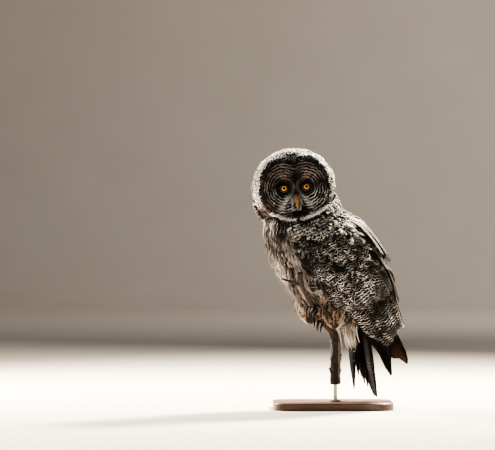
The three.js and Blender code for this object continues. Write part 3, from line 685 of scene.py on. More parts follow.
def lying(roots, way, length, lift, wander):
    """Paths that start in the skin at the roots, follow it along a way and rise by lift at the tips. Each is
    a curve through three points: the root, one halfway and the tip."""
    place, out, _, bake = on_skin(roots)
    way = unit(way - out * (way * out).sum(axis=1, keepdims=True))
    turn = wander * (draws.normal(0, 0.8, len(roots)) + 0.9 * swell(roots, 17))
    way = unit(way * np.cos(turn)[:, None] + np.cross(out, way) * np.sin(turn)[:, None])
    length = np.broadcast_to(length, len(roots))
    lift = np.broadcast_to(lift, len(roots))
    middle, out_middle, _, _ = on_skin(place + way * length[:, None] / 2)
    end, out_end, _, _ = on_skin(place + way * length[:, None])
    p0 = place - out * SUNK
    p1 = middle + out_middle * (lift * 0.62)[:, None]
    p2 = end + out_end * lift[:, None]

    def path(t):
        return p0 * ((1 - t) * (1 - 2 * t)) + p1 * (4 * t * (1 - t)) + p2 * (t * (2 * t - 1))

    def face(t):
        return unit(mix(out, out_end, t))

    return path, face, bake


print("swell at the body's middle:", np.round(swell(BODY_CENTRE[None], 17), 2))

# %% [markdown]
# ## The plumage's colours
# A great grey owl is dark umber, barred and streaked with ash and white. The face has thin pale
# rings round each eye, a white bow tie under it and dark corners above. Each rule below is worked
# out from where a feather grows, so skin and coat share it.

# %% Colours and marks
INK, UMBER, BROWN, TAN = (linear(c) for c in ("#060504", "#1a120d", "#3f2e24", "#a07f66"))
ASH, GREY, BUFF, WHITE = (linear(c) for c in ("#86858a", "#bdbdc0", "#d8c6b4", "#fdfaf6"))


def shade(count, deep, pale, bar, streak, fringe, period):
    """What the coat's corners carry, with values for all vanes or one each."""
    marks = [np.broadcast_to(np.asarray(value, float), count) for value in (bar, streak, fringe, period)]
    return {
        "draw": draws.uniform(0, 1, count),
        "deep": np.broadcast_to(np.asarray(deep, float), (count, 3)),
        "pale": np.broadcast_to(np.asarray(pale, float), (count, 3)),
        "marks": np.stack(marks[:3], axis=1),
        "period": marks[3],
    }


def blend(a, b, t):
    share = np.asarray(t, float)
    return a + (np.asarray(b) - a) * (share[:, None] if share.ndim else share)


def grown(roots, way, looks, length, width, lift, wander, **shape):
    """A group of vanes that lie along the skin from their roots, no two of quite the same size."""
    count = len(roots)
    size = 1 + draws.uniform(-0.2, 0.2, count)
    rise = lift * (1 + draws.uniform(-0.2, 0.2, count) + 0.25 * swell(roots + 40, 15))
    path, face, bake = lying(roots, way, length * size, rise, wander)
    return vanes(path, face, width * size, looks, bake, roll=draws.normal(0, 0.12, count), **shape)


def tell(name, groups):
    print(name + ":", sum(len(group["verts"]) for group in groups), "feathers")


print("white in linear light:", np.round(WHITE, 3))

# %% [markdown]
# ## Face, ruff and crown
# The face feathers are the smallest. They part at each eye and lie outwards in all directions, which
# makes the two dishes, and the stiff ruff feathers stand round them. Their bars line up as rings, so
# the rings are drawn by the distance from the eye and not along each vane.

# %% Face
RING = 6.6
FACE_EDGE, EYE_GAP = 0.93, 9.4
coat_groups = {"coat_face": [], "coat_head": [], "coat_body": [], "coat_legs": [], "coat_shoulders": []}


def eye_offsets(x, z):
    """Sideways and upward distance from the nearer eye."""
    side = np.sign(x - SHIFT)
    return x - SHIFT - side * EYE["apart"], z - EYE["low"], side


def pale_strokes(middle, z):
    """The grey crescents beside the bill and the tan brows over the eyes, 0 to 1."""
    curve = mix(11, 37, np.clip((-z - 4) / 46, 0, 1) ** 1.2)
    crescent = bump(middle - curve, 5.5) * smooth(z, 2, -8) * smooth(z, -60, -48)
    over_eye = mix(11, 34, np.clip((z + 2) / 28, 0, 1))
    brow = bump(middle - over_eye, 5) * smooth(z, -6, 2) * smooth(z, 32, 22)
    return crescent, brow


def face_looks(local):
    x, z = local[:, 0], local[:, 2]
    dx, dz, _ = eye_offsets(x, z)
    from_eye = np.hypot(dx, dz)
    reach = disc_reach(x, z)
    middle = np.abs(x - SHIFT)
    low = smooth(z, 12, -18)
    deep = blend(INK, UMBER, 0.6 * smooth(z, -5, 25))
    pale = blend(blend(TAN, GREY, 0.6), GREY * 0.9, low)
    outer_low = smooth(x, -5, 25) * smooth(dx, -10, 8) * smooth(-dz, -10, 12)
    deep = blend(deep, INK * 0.6, outer_low)
    pale = blend(pale, WHITE, outer_low)
    pale = blend(pale, BUFF, 0.5 * smooth(-x, 30, 60))
    bar = 0.85 + 0.35 * outer_low
    crescent, brow = pale_strokes(middle, z)
    deep = blend(blend(deep, GREY * 0.75, 0.9 * crescent), TAN * 0.5, 0.9 * brow)
    pale = blend(blend(pale, WHITE, crescent), BUFF, brow)
    wedge = bump(middle, 9) * smooth(z, -34, -14) * smooth(z, 50, 20)
    # The dark ring round each eye is partly the feathers' own dark colour and partly painted shade under the
    # lids and brow.
    eye_ring = smooth(from_eye, 18, 13)
    corner = smooth(reach, 0.74, 0.85) * smooth(z, 12, 36) * smooth(middle, 30, 46)
    rim = smooth(reach, 0.84, 0.93) * smooth(middle, 10, 25) * mix(0.3, 0.7, smooth(z, -5, 30))
    dark = np.clip(wedge + eye_ring + corner + rim, 0, 1)
    deep = blend(deep, INK * 0.5, dark)
    pale = blend(pale, INK, dark * 0.92)
    return shade(len(x), deep, pale, bar, 0, 0, RING)


def face_group(spacing, length, width, lift):
    """Small feathers that point away from the nearer eye, none of them over an eye or the bill."""
    _, _, roots = scatter(head_surface, (0.02, 1.15), (0, 2 * np.pi), spacing)
    local = in_head(roots)
    dx, dz, side = eye_offsets(local[:, 0], local[:, 2])
    from_eye = np.hypot(dx, dz)
    beak = (np.abs(local[:, 0] - SHIFT) < 4) & (np.abs(local[:, 2] + 42) < 10)
    keep = (disc_reach(local[:, 0], local[:, 2]) < FACE_EDGE) & (from_eye > EYE_GAP) & ~beak
    local, dx, dz, side, roots, from_eye = (a[keep] for a in (local, dx, dz, side, roots, from_eye))
    way = np.stack([dx / from_eye, np.zeros(len(dx)), dz / from_eye], axis=1)
    between_eyes = bump(local[:, 0] - SHIFT, 9)[:, None]
    up_or_down = np.where(local[:, 2] > -20, 1.6, -1.6)
    way = unit(way + between_eyes * np.stack([side * 0.5, 0 * dx, up_or_down], axis=1))
    shorter = 1 - 0.35 * smooth(disc_reach(local[:, 0], local[:, 2]), 0.8, FACE_EDGE)
    length = (length + 0.04 * from_eye) * shorter
    group = grown(roots, way @ HEAD_AXES.T, face_looks(local), length, width, lift, wander=0.22, columns=3,
                  rows=3, thick=0.35, blunt=0.55)
    ex, ez, _ = eye_offsets(*in_head(group["verts"]).T[[0, 2]])
    group["vane"][..., 1] = (np.hypot(ex, ez * 0.94) / RING).T
    group["ringed"] = True
    return group


coat_groups["coat_face"].append(face_group(spacing=1.7, length=7.0, width=2.2, lift=4.4))

# %% Bristles round the bill
BRISTLES = {"count": 380, "length": 17, "width": 1.8, "lift": 12, "inner": 2.0, "outer": 12.0, "sunk": 3}


def bristle_group():
    """Stiff bristles that spring from beside the bill's root and lie down over its sides."""
    count = BRISTLES["count"]
    side = np.where(np.arange(count) % 2, 1.0, -1.0)
    out = draws.uniform(0, 1, count)
    x = SHIFT + side * mix(BRISTLES["inner"], BRISTLES["outer"], out)
    z = draws.uniform(-44, -19, count) - 5 * out
    y = -face_front(x, z) + BRISTLES["sunk"]
    roots = in_world(np.stack([x, y, z], axis=1))
    way = np.stack([side * mix(-0.4, 0.3, out), np.full(count, -0.6), -1.0 + 0.2 * out], axis=1)
    grey = smooth(out, 0.25, 0.6)
    looks = shade(count, blend(INK, ASH, grey), blend(INK, WHITE, grey), 0.3, 0.2, 0.6 * grey, 9)
    length, lift = BRISTLES["length"] - 3 * out, BRISTLES["lift"] - 5 * out
    return grown(roots, way @ HEAD_AXES.T, looks, length, BRISTLES["width"], lift, wander=0.2, columns=3,
                 rows=5, thick=0.4, blunt=0.3, point=1.0)


coat_groups["coat_face"].append(bristle_group())
tell("face", coat_groups["coat_face"])

# %% Ruff and crown
HEAD_VANE = dict(columns=3, rows=5, blunt=0.45, ragged=0.25)


def bow_line(x):
    """How high the white bow tie under the chin runs."""
    return -80 + 0.0057 * x**2


def bow_group():
    """Short white feathers along the bow tie, rooted where a line straight into the face meets the skin."""
    x = np.concatenate([draws.uniform(-60, -9, 130), draws.uniform(9, 66, 140)])
    z = bow_line(x) + draws.normal(0, 1.3, len(x))
    inwards = Vector(HEAD_AXES[:, 1])
    starts = in_world(np.stack([x, np.full(len(x), -120.0), z], axis=1))
    roots = np.array([skin_tree.ray_cast(Vector(start), inwards)[0] for start in starts])
    way = np.stack([x * 0.02, np.full(len(x), -0.3), np.full(len(x), -1.0)], axis=1) @ HEAD_AXES.T
    looks = shade(len(x), blend(GREY, WHITE, draws.uniform(0, 1, len(x))), WHITE, 0.5, 0, 0.9, 9)
    return grown(roots, way, looks, 10, 3.2, 9.5, wander=0.3, columns=3, rows=5, blunt=0.4, point=0.5)


def lit_cheek(x, z):
    """Where the long loose feathers low on the bird's right cheek grow, 0 to 1. Their colours there are
    painted rim light.
    """
    return smooth(-x, 58, 74) * smooth(-z, -10, 30)


def ruff_looks(local):
    x, z = local[:, 0], local[:, 2]
    middle = np.abs(x - SHIFT)
    reach = disc_reach(x, z)
    # Painted rim light and shade: towards the top of the ruff its pale marks turn white and its dark marks
    # black, as lit tufts with shade between them.
    top = smooth(z, 15, 55)
    left = smooth(-x, 30, 80)
    deep = blend(blend(UMBER, INK, 0.7 * top), BROWN * 0.5, 0.7 * left)
    pale = blend(blend(BUFF, GREY, smooth(x, 0, 60)), WHITE, 0.35 + 0.65 * smooth(z, 0, 50))
    # Painted rim light on the right cheek: its dark marks are drawn browner.
    deep = blend(deep, BROWN * 0.7, 0.7 * lit_cheek(x, z))
    inner = np.clip(smooth(reach, 1.04, 0.98) + smooth(-z, 50, 62) * smooth(middle, 66, 56), 0, 1)
    deep = blend(deep, INK * 0.6, inner)
    pale = blend(pale, BROWN, inner * 0.85)
    plain = draws.uniform(0, 1, len(x)) < 0.3
    return shade(len(x), deep, pale, np.where(plain, 0.15, 1.1), 0.2, np.where(plain, 0.1, 0.2), 7.5)


def crown_looks(local, polar):
    z = local[:, 2]
    # Painted rim light and shade: towards the top of the crown the pale marks turn white and the dark marks
    # black, as lit tufts with shade between them.
    top = smooth(z, 25, 75)
    back = smooth(polar, 1.5, 2.4)
    # Painted rim light on the right cheek: its dark marks browner, its pale ones whiter and its fringes
    # wider.
    cheek = lit_cheek(local[:, 0], z)
    deep = blend(blend(UMBER, INK, 0.7 * top), BROWN * 0.7, cheek)
    pale = blend(blend(GREY, BUFF, 0.3), WHITE, 0.5 + 0.5 * np.maximum(top, cheek))
    pale = blend(pale, GREY, 0.5 * back)
    plain = draws.uniform(0, 1, len(z)) < 0.35
    fringe = np.where(plain, 0.1, 0.2 + 0.5 * cheek)
    return shade(len(z), deep, pale, np.where(plain, 0.15, 1.2), 0.1, fringe, 8.5)


def head_way(local, polar):
    """Outwards from the face's middle, then back over the crown and down the nape."""
    out_from_face = np.stack([local[:, 0] - SHIFT, 0 * polar, local[:, 2] + 5], axis=1)
    back_way = np.stack([local[:, 0] * 0.004, 1 + 0 * polar, -0.25 + 0 * polar], axis=1)
    turned = smooth(polar, 0.9, 1.7)
    way = unit(blend(unit(out_from_face), back_way, turned)) @ HEAD_AXES.T
    return unit(blend(way, 0.9 * DOWN - 0.5 * UP + 0 * way, smooth(polar, 1.7, 2.6)))


def head_groups():
    """The ruff and the crown. Their bars run on from one feather to the next."""
    polar, _, roots = rooted(head_surface, (0.35, 3.1), (0, 2 * np.pi), 2.4, HEAD_COAT + 4)
    local = in_head(roots)
    reach = disc_reach(local[:, 0], local[:, 2])
    outside = (reach > 0.95) | (polar > 1.4)
    polar, roots, local, reach = (a[outside] for a in (polar, roots, local, reach))
    ruff = (reach < 1.25) & (polar < 1.45)
    way = head_way(local, polar)
    length = 13 + 6 * lit_cheek(local[:, 0], local[:, 2])
    groups = [
        grown(roots[ruff], way[ruff], ruff_looks(local[ruff]), length[ruff], 4.2, 6.4, wander=0.12,
              point=0.4, **HEAD_VANE),
        grown(roots[~ruff], way[~ruff], crown_looks(local[~ruff], polar[~ruff]), length[~ruff], 4.8, 6.2,
              wander=0.25, point=0.3, **HEAD_VANE),
    ]
    for group in groups:
        x, y, z = in_head(group["verts"]).T
        place = np.arctan2(np.hypot(x, z), -y)
        group["joined"] = mix(WIDTH * place, -z, smooth(place, 1.5, 2.1)).T
    return groups


coat_groups["coat_head"] += head_groups() + [bow_group()]
tell("head", coat_groups["coat_head"])

# %% [markdown]
# ## Breast, neck and belly
# Breast feathers are long and loose, each with a dark streak down its shaft and frayed pale edges.
# Their bars run on from one feather to the next, so they are drawn by the height on the body.

# %% Body feathers
def streaked(across, along, dark, middle, light):
    """Colours in long soft streaks, dark and light, with broad plain patches between them."""
    flat = np.stack([across, along * 0.25, 0 * across], axis=1)
    streak = smooth(swell(flat, 7) + draws.normal(0, 0.25, len(across)), -0.2, 0.15)
    patch = smooth(swell(flat * [0.35, 1, 1] + 90, 9), 0.3, 0.8)
    tone = blend(middle, light, np.clip(patch + draws.uniform(0, 0.45, len(across)), 0, 1))
    return blend(tone, dark, streak * (1 - 0.75 * patch))


def breast_looks(up, angle):
    warm = smooth(angle, 25, -35)
    low = smooth(-up, 0, 90)
    middle = blend(blend(ASH, TAN, 0.5 + 0.4 * warm) * 0.45, BROWN, 0.7 * low)
    light = blend(blend(GREY, BUFF, 0.4 + 0.5 * warm) * 0.8, TAN * 0.8, 0.8 * low)
    deep = streaked(angle * 1.75, up, blend(INK, UMBER, 0.6), middle, light)
    return shade(len(up), deep, blend(light, WHITE, 0.3), 0, 0.3, 0.25, 8)


def neck_looks(up, angle):
    back = smooth(np.abs(angle), 120, 160)
    return shade(len(up), INK, blend(WHITE, GREY, back), 1.0, 0.2, 0.45, 7.5)


def rump_looks(up, _):
    return shade(len(up), UMBER, blend(TAN, GREY, 0.3), 0.6, 0.3, 0.4, 8.5)


def body_group(looks, ups, angles, spacing, length, width, lift, **shape):
    """Angles run from -180 to 180, with the belly at 0 and the bird's left side above 0."""
    up, turn, roots = rooted(body_surface, ups, np.radians(angles), spacing, BODY_COAT + 3)
    local = in_head(roots)
    over_face = (disc_reach(local[:, 0], local[:, 2]) < 1.3) & (local[:, 1] < 10)
    over_face &= local[:, 2] > bow_line(local[:, 0]) - 9
    up, turn, roots = up[~over_face], turn[~over_face], roots[~over_face]
    angle = (np.degrees(turn) + 180) % 360 - 180
    outwards = np.sin(np.radians(angle))[:, None] * LEFT
    way = -UP * 0.8 + DOWN * 0.35 + 0.12 * outwards
    group = grown(roots, way, looks(up, angle), length, width, lift, **shape)
    group["joined"] = (BODY_CENTRE - group["verts"]) @ UP
    return group


FLUFF = dict(columns=3, ragged=0.3, blunt=0.4, point=0.6)
coat_groups["coat_body"] += [
    body_group(neck_looks, (88, 198), (52, 308), 3.6, 18, 8, 8.5, columns=5, rows=5, ragged=0.25, blunt=0.45,
               wander=0.35),
    body_group(breast_looks, (-156, 190), (-62, 64), 3.6, 26, 6, 9, rows=6, wander=0.2, **FLUFF),
    body_group(breast_looks, (-150, 150), (-62, 12), 7, 30, 3.4, 14, rows=6, wander=0.3, **FLUFF),
    body_group(rump_looks, (-156, -70), (62, 298), 4.6, 24, 8, 6.5, rows=5, wander=0.25, **FLUFF),
]
tell("body", coat_groups["coat_body"])

# %% [markdown]
# ## Legs and toes
# The legs are covered in long pale down, and the toes in short down as far as the claws. Both are
# grown like the breast, on the ovals of the legs and the bent tubes of the toes.

# %% Legs and toes
def leg_groups():
    for name, leg in LEGS.items():
        surface = leg_surface(name)
        down_leg = unit(body_point(*leg["bottom"]) - body_point(*leg["top"]))
        share, turn, roots = rooted(surface, (0, 1.0), (0, 2 * np.pi), 3.6, LEG_COAT + 3)
        above_foot = share < 0.85
        share, turn, roots = share[above_foot], turn[above_foot], roots[above_foot]
        low = smooth(share, 0.5, 1)
        middle, light = (TAN * 0.8, BUFF) if name == "left" else (TAN, BUFF)
        deep = streaked(turn * 38, share * 90, UMBER, middle, blend(light, BUFF, low))
        looks = shade(len(roots), deep, blend(light, WHITE, 0.4 * low), 0, 0.3, 0.3, 9)
        way = np.broadcast_to(down_leg + 0.5 * DOWN, roots.shape)
        length, lift = mix(24, 8, smooth(share, 0.2, 0.8)), mix(7, 3, smooth(share, 0.5, 0.8))
        yield grown(roots, way, looks, length, 4.5, lift, wander=0.3, rows=5, **FLUFF)


def toe_groups():
    for foot in FEET.values():
        for shift, side in foot["toes"]:
            surface = toe_surface(grip_frame(foot, shift), side, -TOE_COAT)
            degrees, turn, roots = rooted(surface, (TOE_FROM, TOE_TO - 8), (0, 2 * np.pi), 1.9, 2.5, 30)
            if not len(roots):
                continue
            _, way = normals_of(surface, degrees, turn, 0.5, 0.05)
            looks = shade(len(roots), blend(INK, UMBER, 0.5), BROWN, 0.2, 0.3, 0.4, 5)
            yield grown(roots, way, looks, 4.5, 2, 1.2, wander=0.2, columns=3, rows=3, thick=0.3, blunt=0.4)


coat_groups["coat_legs"] += list(leg_groups()) + list(toe_groups())
tell("legs and toes", coat_groups["coat_legs"])

# %% [markdown]
# ## Wings
# A folded wing is tiers of stiff feathers laid like roof tiles, with primaries and secondaries below
# and coverts above, and small loose feathers over the shoulder. The tiers run over the same
# cloak-shaped surface as the frame's, and the loose feathers are scattered on its upper part.

# %% Wing tiers
LEVEL, ARCH = [[0, 0], [1, 0]], [[0, 0], [0.5, 8], [1, 0]]
# Root and tip hold [up, angle] of a tier's first feather and of its last. Fall is how much lower the
# tips between them hang, and lift how far a feather stands off the cloak past its root and at its tip.
TIERS = {
    "primaries": dict(count=10, root=[[-50, 66], [-75, 112]], tip=[[-262, 30], [-322, 36]], fall=LEVEL,
                      lift=[-8, -9], stack=0.9, width=24, rows=24, blunt=0.6, point=0.6),
    "secondaries": dict(count=15, root=[[-20, 60], [25, 150]], tip=[[-212, 60], [-228, 160]],
                        fall=[[0, 0], [0.16, 26], [0.5, 0], [0.75, -8], [1, 0]],
                        lift=[-1, 1], stack=0, width=32, rows=22, blunt=0.76, point=0),
    "greater": dict(count=17, root=[[10, 54], [40, 132]], tip=[[-110, 52], [-116, 138]], fall=ARCH,
                    lift=[-1, 3], stack=0, width=25, rows=16, blunt=0.7, point=0),
    "tertials": dict(count=4, root=[[30, 146], [40, 172]], tip=[[-138, 150], [-158, 170]], fall=LEVEL,
                     lift=[2, 7], stack=0, width=28, rows=16, blunt=0.8, point=0),
    "scapulars": dict(count=8, root=[[76, 132], [50, 170]], tip=[[-60, 136], [-114, 173]], fall=LEVEL,
                      lift=[4, 10], stack=0, width=27, rows=16, blunt=0.75, point=0),
    "upper_scapulars": dict(count=6, root=[[110, 138], [90, 172]], tip=[[-24, 138], [-60, 172]], fall=LEVEL,
                            lift=[6, 14], stack=0, width=26, rows=14, blunt=0.75, point=0),
}
ROOT_LIFT, RISEN = -8, 0.3
FAR_TIP = {"tip": [[-280, 95], [-316, 150]], "wider": 6, "blunt": 0.8, "point": 0}


def map_row(count, height, tall):
    """Places for a row of feathers at a height of the bake map, and how far each spreads there."""
    across = (np.arange(count) + 0.7) / (count + 0.4)
    return np.stack([across, np.full(count, height)], axis=1), [0.9 / (count + 0.4), tall]


def tier_looks(name, side, angle, count):
    """Colours and marks of a tier. Towards the back they turn paler, tan and white-edged: painted rim light.
    """
    # Painted rim light: towards the back the pale marks turn white, and on the tertials and scapulars the
    # dark ones turn tan.
    over = smooth(angle, 115, 160)
    warm = draws.uniform(0, 0.35, count)
    deep = blend(INK, BROWN, warm)
    if name == "primaries":
        # The far wing's primaries are drawn darker than the near ones, as painted shade, with tan edges as
        # painted rim light.
        if side < 0:
            return shade(count, INK * 0.2, TAN, 0.0, 0.3, 0.3, 17)
        return shade(count, INK * 0.6, BROWN * 0.5, 0.5, 0.3, 0.0, 17)
    if name == "secondaries":
        # Painted rim light: the secondaries nearest the back get tan dark marks and wide pale fringes.
        behind = smooth(angle, 138, 160)
        deep = blend(deep * 0.3, TAN, 0.6 * behind)
        return shade(count, deep, blend(GREY, WHITE, 0.6 + 0.4 * over), 1.0, 0.2, 0.05 + 0.8 * behind, 8.5)
    if name in ("scapulars", "upper_scapulars", "tertials"):
        return shade(count, blend(deep, TAN, 0.6 * over), WHITE, 1.0, 0.1, 0.7, 8)
    return shade(count, deep * 0.4, blend(GREY, WHITE, 0.6 + 0.4 * over), 1.05, 0.1, 0.05, 8)


def wing_tier(name, side, row):
    """One row of stiff feathers over the cloak. The far wing's tips lie nearer the back and are broader."""
    tier = dict(TIERS[name], wider=0)
    if name == "primaries" and side < 0:
        tier.update(FAR_TIP)
    count = tier["count"]
    f = np.linspace(0, 1, count)
    root, tip = ([mix(tier[end][0][k], tier[end][1][k], f) for k in (0, 1)] for end in ("root", "tip"))
    tip[0] = tip[0] + draws.uniform(-3, 6, count) - between(tier["fall"], f)[:, 0]
    tip[1] = tip[1] + draws.uniform(-2.2, 2.2, count)
    past_root = tier["lift"][0]
    at_tip = tier["lift"][1] + tier["stack"] * np.arange(count) + draws.uniform(-1, 1, count)

    def angle(t):
        return mix(root[1], tip[1], t**1.3)

    def path(t):
        lift = mix(ROOT_LIFT, past_root, t / RISEN)
        if t >= RISEN:
            lift = mix(past_root, at_tip, (t - RISEN) / (1 - RISEN))
        return on_section(CLOAK, mix(root[0], tip[0], t), angle(t), side, lift)

    def face(t):
        turn = np.radians(angle(t))[:, None]
        return side * np.sin(turn) * LEFT + np.cos(turn) * FRONT

    cells, spread = map_row(count, (row + 0.5) / len(TIERS), 0.9 / len(TIERS))
    width = tier["width"] + draws.uniform(-2.5, 2.5, count) + tier["wider"]
    return vanes(path, face, width, tier_looks(name, side, tip[1], count), cells, columns=7,
                 rows=tier["rows"], blunt=tier["blunt"], end=0.25, point=tier["point"], thick=0.8,
                 roll=side * np.radians(7), ragged=0.12, cup=0.04, spread=spread)


def loose_looks(up, angle):
    # Painted rim light: towards the back the loose feathers' pale marks turn white, their dark ones tan and
    # their fringes wider.
    over = smooth(angle, 112, 150)
    warm = draws.uniform(0, 0.35, len(up))[:, None]
    pale = blend(GREY, WHITE, 0.7 + 0.3 * over)
    deep = blend(INK + (UMBER - INK) * warm, TAN, 0.5 * over)
    return shade(len(up), deep, pale, 1.1, 0.1, 0.1 + 0.7 * over, 7)


def shoulder_group(side, ups, angles, spacing, length, width, lift):
    """Loose feathers over the shoulder and the front edge of the wing."""
    def surface(up, turn):
        return on_section(CLOAK, up, np.degrees(turn), side, -WING_COAT)

    up, turn, roots = rooted(surface, ups, np.radians(angles), spacing, 3)
    way = np.broadcast_to(-UP * 0.9 + DOWN * 0.2, roots.shape)
    return grown(roots, way, loose_looks(up, np.degrees(turn)), length, width, lift, columns=7, rows=9,
                 ragged=0.15, blunt=0.55, wander=0.3, thick=0.8, cup=0.12)


wing_groups = {side: [wing_tier(name, side, row) for row, name in enumerate(TIERS)] for side in (1, -1)}
for side in (1, -1):
    coat_groups["coat_shoulders"] += [
        shoulder_group(side, (-20, 122), (44, 182), 8.5, 36, 21, 14),
        shoulder_group(side, (-110, -16), (44, 66), 6.5, 30, 12, 10),
        shoulder_group(side, (-110, -16), (158, 184), 7.5, 34, 15, 13),
    ]
tell("shoulders", coat_groups["coat_shoulders"])
tell("stiff wing feathers", wing_groups[1] + wing_groups[-1])

# %% [markdown]
# ## Tail
# The tail feathers are long, dark and broken by paler bars. White down hangs over their roots. The
# feathers lie on the frame's line for the tail, and the down is a bundle of bent vanes round it.

# %% Tail feathers and coverts
def tail_group():
    count = TAIL["count"]
    f = np.linspace(-1, 1, count)
    turn, length = between(TAIL_SPREAD, f).T
    fan = np.radians(turn + draws.uniform(-0.5, 0.5, count))
    depth = 8 - TAIL_STACK * ((count - 1) * np.abs(f) - (f > 0))
    length = length + draws.uniform(-3, 3, count)

    def path(t):
        down = mix(-14, length, t)
        sideways = 13 * f + 17 * smooth(f, 0, 1) + np.sin(fan) * down
        return tail_point(sideways, depth - 8 * t * (1 - t), np.cos(fan) * down)

    def face(_):
        return np.broadcast_to(TAIL_BACK, (count, 3))

    looks = shade(count, INK * 0.25, blend(BROWN, ASH, 0.5), 0.9, 0.3, 0.03, 8.5)
    cells, spread = map_row(count, 0.75, 0.42)
    return vanes(path, face, np.full(count, TAIL["width"]), looks, cells, columns=7, rows=28, blunt=0.55,
                 start=0.8, end=0.1, point=0.8, thick=0.8, ragged=0.08, cup=0.03, spread=spread)


COVERTS = {
    "under": dict(count=150, face=-1, start=10, start_down=2, bulge=[14, 46], length=112, width=8, fan=9,
                  spread=[-26, 8], height=0.1),
    "upper": dict(count=40, face=1, start=9, start_down=8, bulge=[0, 6], length=78, width=13, fan=10,
                  spread=[-22, 22], height=0.28),
}


def covert_group(name):
    tier = COVERTS[name]
    count = tier["count"]
    f = draws.uniform(-1, 1, count)
    fan = np.radians(tier["fan"] * f + draws.normal(0, 3, count))
    length = tier["length"] * (1 - 0.16 * np.abs(f)) * draws.uniform(0.5, 1.0, count)
    bulge = draws.uniform(*tier["bulge"], count)
    sideways = mix(*tier["spread"], (f + 1) / 2)

    def path(t):
        back = tier["face"] * (tier["start"] + bulge * np.sin(2.1 * t) - 3 * np.abs(f))
        return tail_point(sideways + np.sin(fan) * length * t, back, tier["start_down"] + length * t)

    def face(_):
        return np.broadcast_to(TAIL_BACK * tier["face"], (count, 3))

    looks = shade(count, INK, GREY, 0.8, 0.2, 0.25, 8)
    if name == "under":
        looks = shade(count, blend(BUFF, WHITE, draws.uniform(0, 1, count)), WHITE, 0.3, 0.1, 0.8, 9)
    cells, spread = map_row(count, tier["height"], 0.16)
    return vanes(path, face, tier["width"] * draws.uniform(0.5, 1.2, count), looks, cells, columns=5,
                 rows=10, blunt=0.35, end=0.1, point=0.6, roll=draws.normal(0, 0.3, count), ragged=0.35,
                 spread=spread)


tail_groups = [tail_group(), covert_group("under"), covert_group("upper")]
tell("tail", tail_groups)

# %% [markdown]
# ## Feather material
# Real feathers are keratin barbs: matt, a little silky along the shaft, and coloured in bars that
# waver from one feather to the next. The bars are a sine wave along each vane, bent by noise and
# broken up by slower noise, with a dark shaft and paler edges. Each vane is also darker towards its
# root: painted shade, where the feathers over it would shade it. Fine ridges slanting from the shaft
# are only bump. The shine is kept low, because the lamps behind give the bright edges.

# %% Node helper
def new_material(name):
    material = bpy.data.materials.new(name)
    material.use_nodes = True
    tree = material.node_tree
    return material, tree, tree.nodes["Principled BSDF"]


def join(tree, node, **links):
    """Fills a node's inputs, by name or by number as i0: with a value, a socket or a node's first output."""
    for key, value in links.items():
        socket = node.inputs[int(key[1:])] if key[1:].isdigit() else node.inputs[key.replace("_", " ")]
        if isinstance(value, bpy.types.Node):
            value = value.outputs[0]
        if isinstance(value, bpy.types.NodeSocket):
            tree.links.new(value, socket)
        else:
            socket.default_value = value


def add(tree, kind, settings=None, **links):
    """Adds a node: settings go on the node, links fill its inputs."""
    node = tree.nodes.new(kind)
    for key, value in (settings or {}).items():
        setattr(node, key, value)
    join(tree, node, **links)
    return node


def rgba(text):
    return (*[float(c) for c in linear(text)], 1.0)


def set_stops(ramp, *stops):
    """Gives a colour ramp its stops, each a place and a hex colour, in order."""
    elements = ramp.color_ramp.elements
    elements[0].position = stops[0][0]
    elements[1].position = stops[-1][0]
    for place, _ in stops[1:-1]:
        elements.new(place)
    for element, (_, colour) in zip(elements, stops):
        element.color = rgba(colour)


MATH, NOISE, RANGE = "ShaderNodeMath", "ShaderNodeTexNoise", "ShaderNodeMapRange"
RAMP, BUMP, COLOURED = "ShaderNodeValToRGB", "ShaderNodeBump", {"data_type": "RGBA"}
SOFT = {"interpolation_type": "SMOOTHSTEP"}
TIMES, TIMES_PLUS, PLUS = ({"operation": name} for name in ("MULTIPLY", "MULTIPLY_ADD", "ADD"))
HELD = {"use_clamp": True}

# %% Feather material
FINE, COARSE, CLOUD = 95.0, 34.0, 11.0  # noise in patches of about 10, 30 and 90 mm


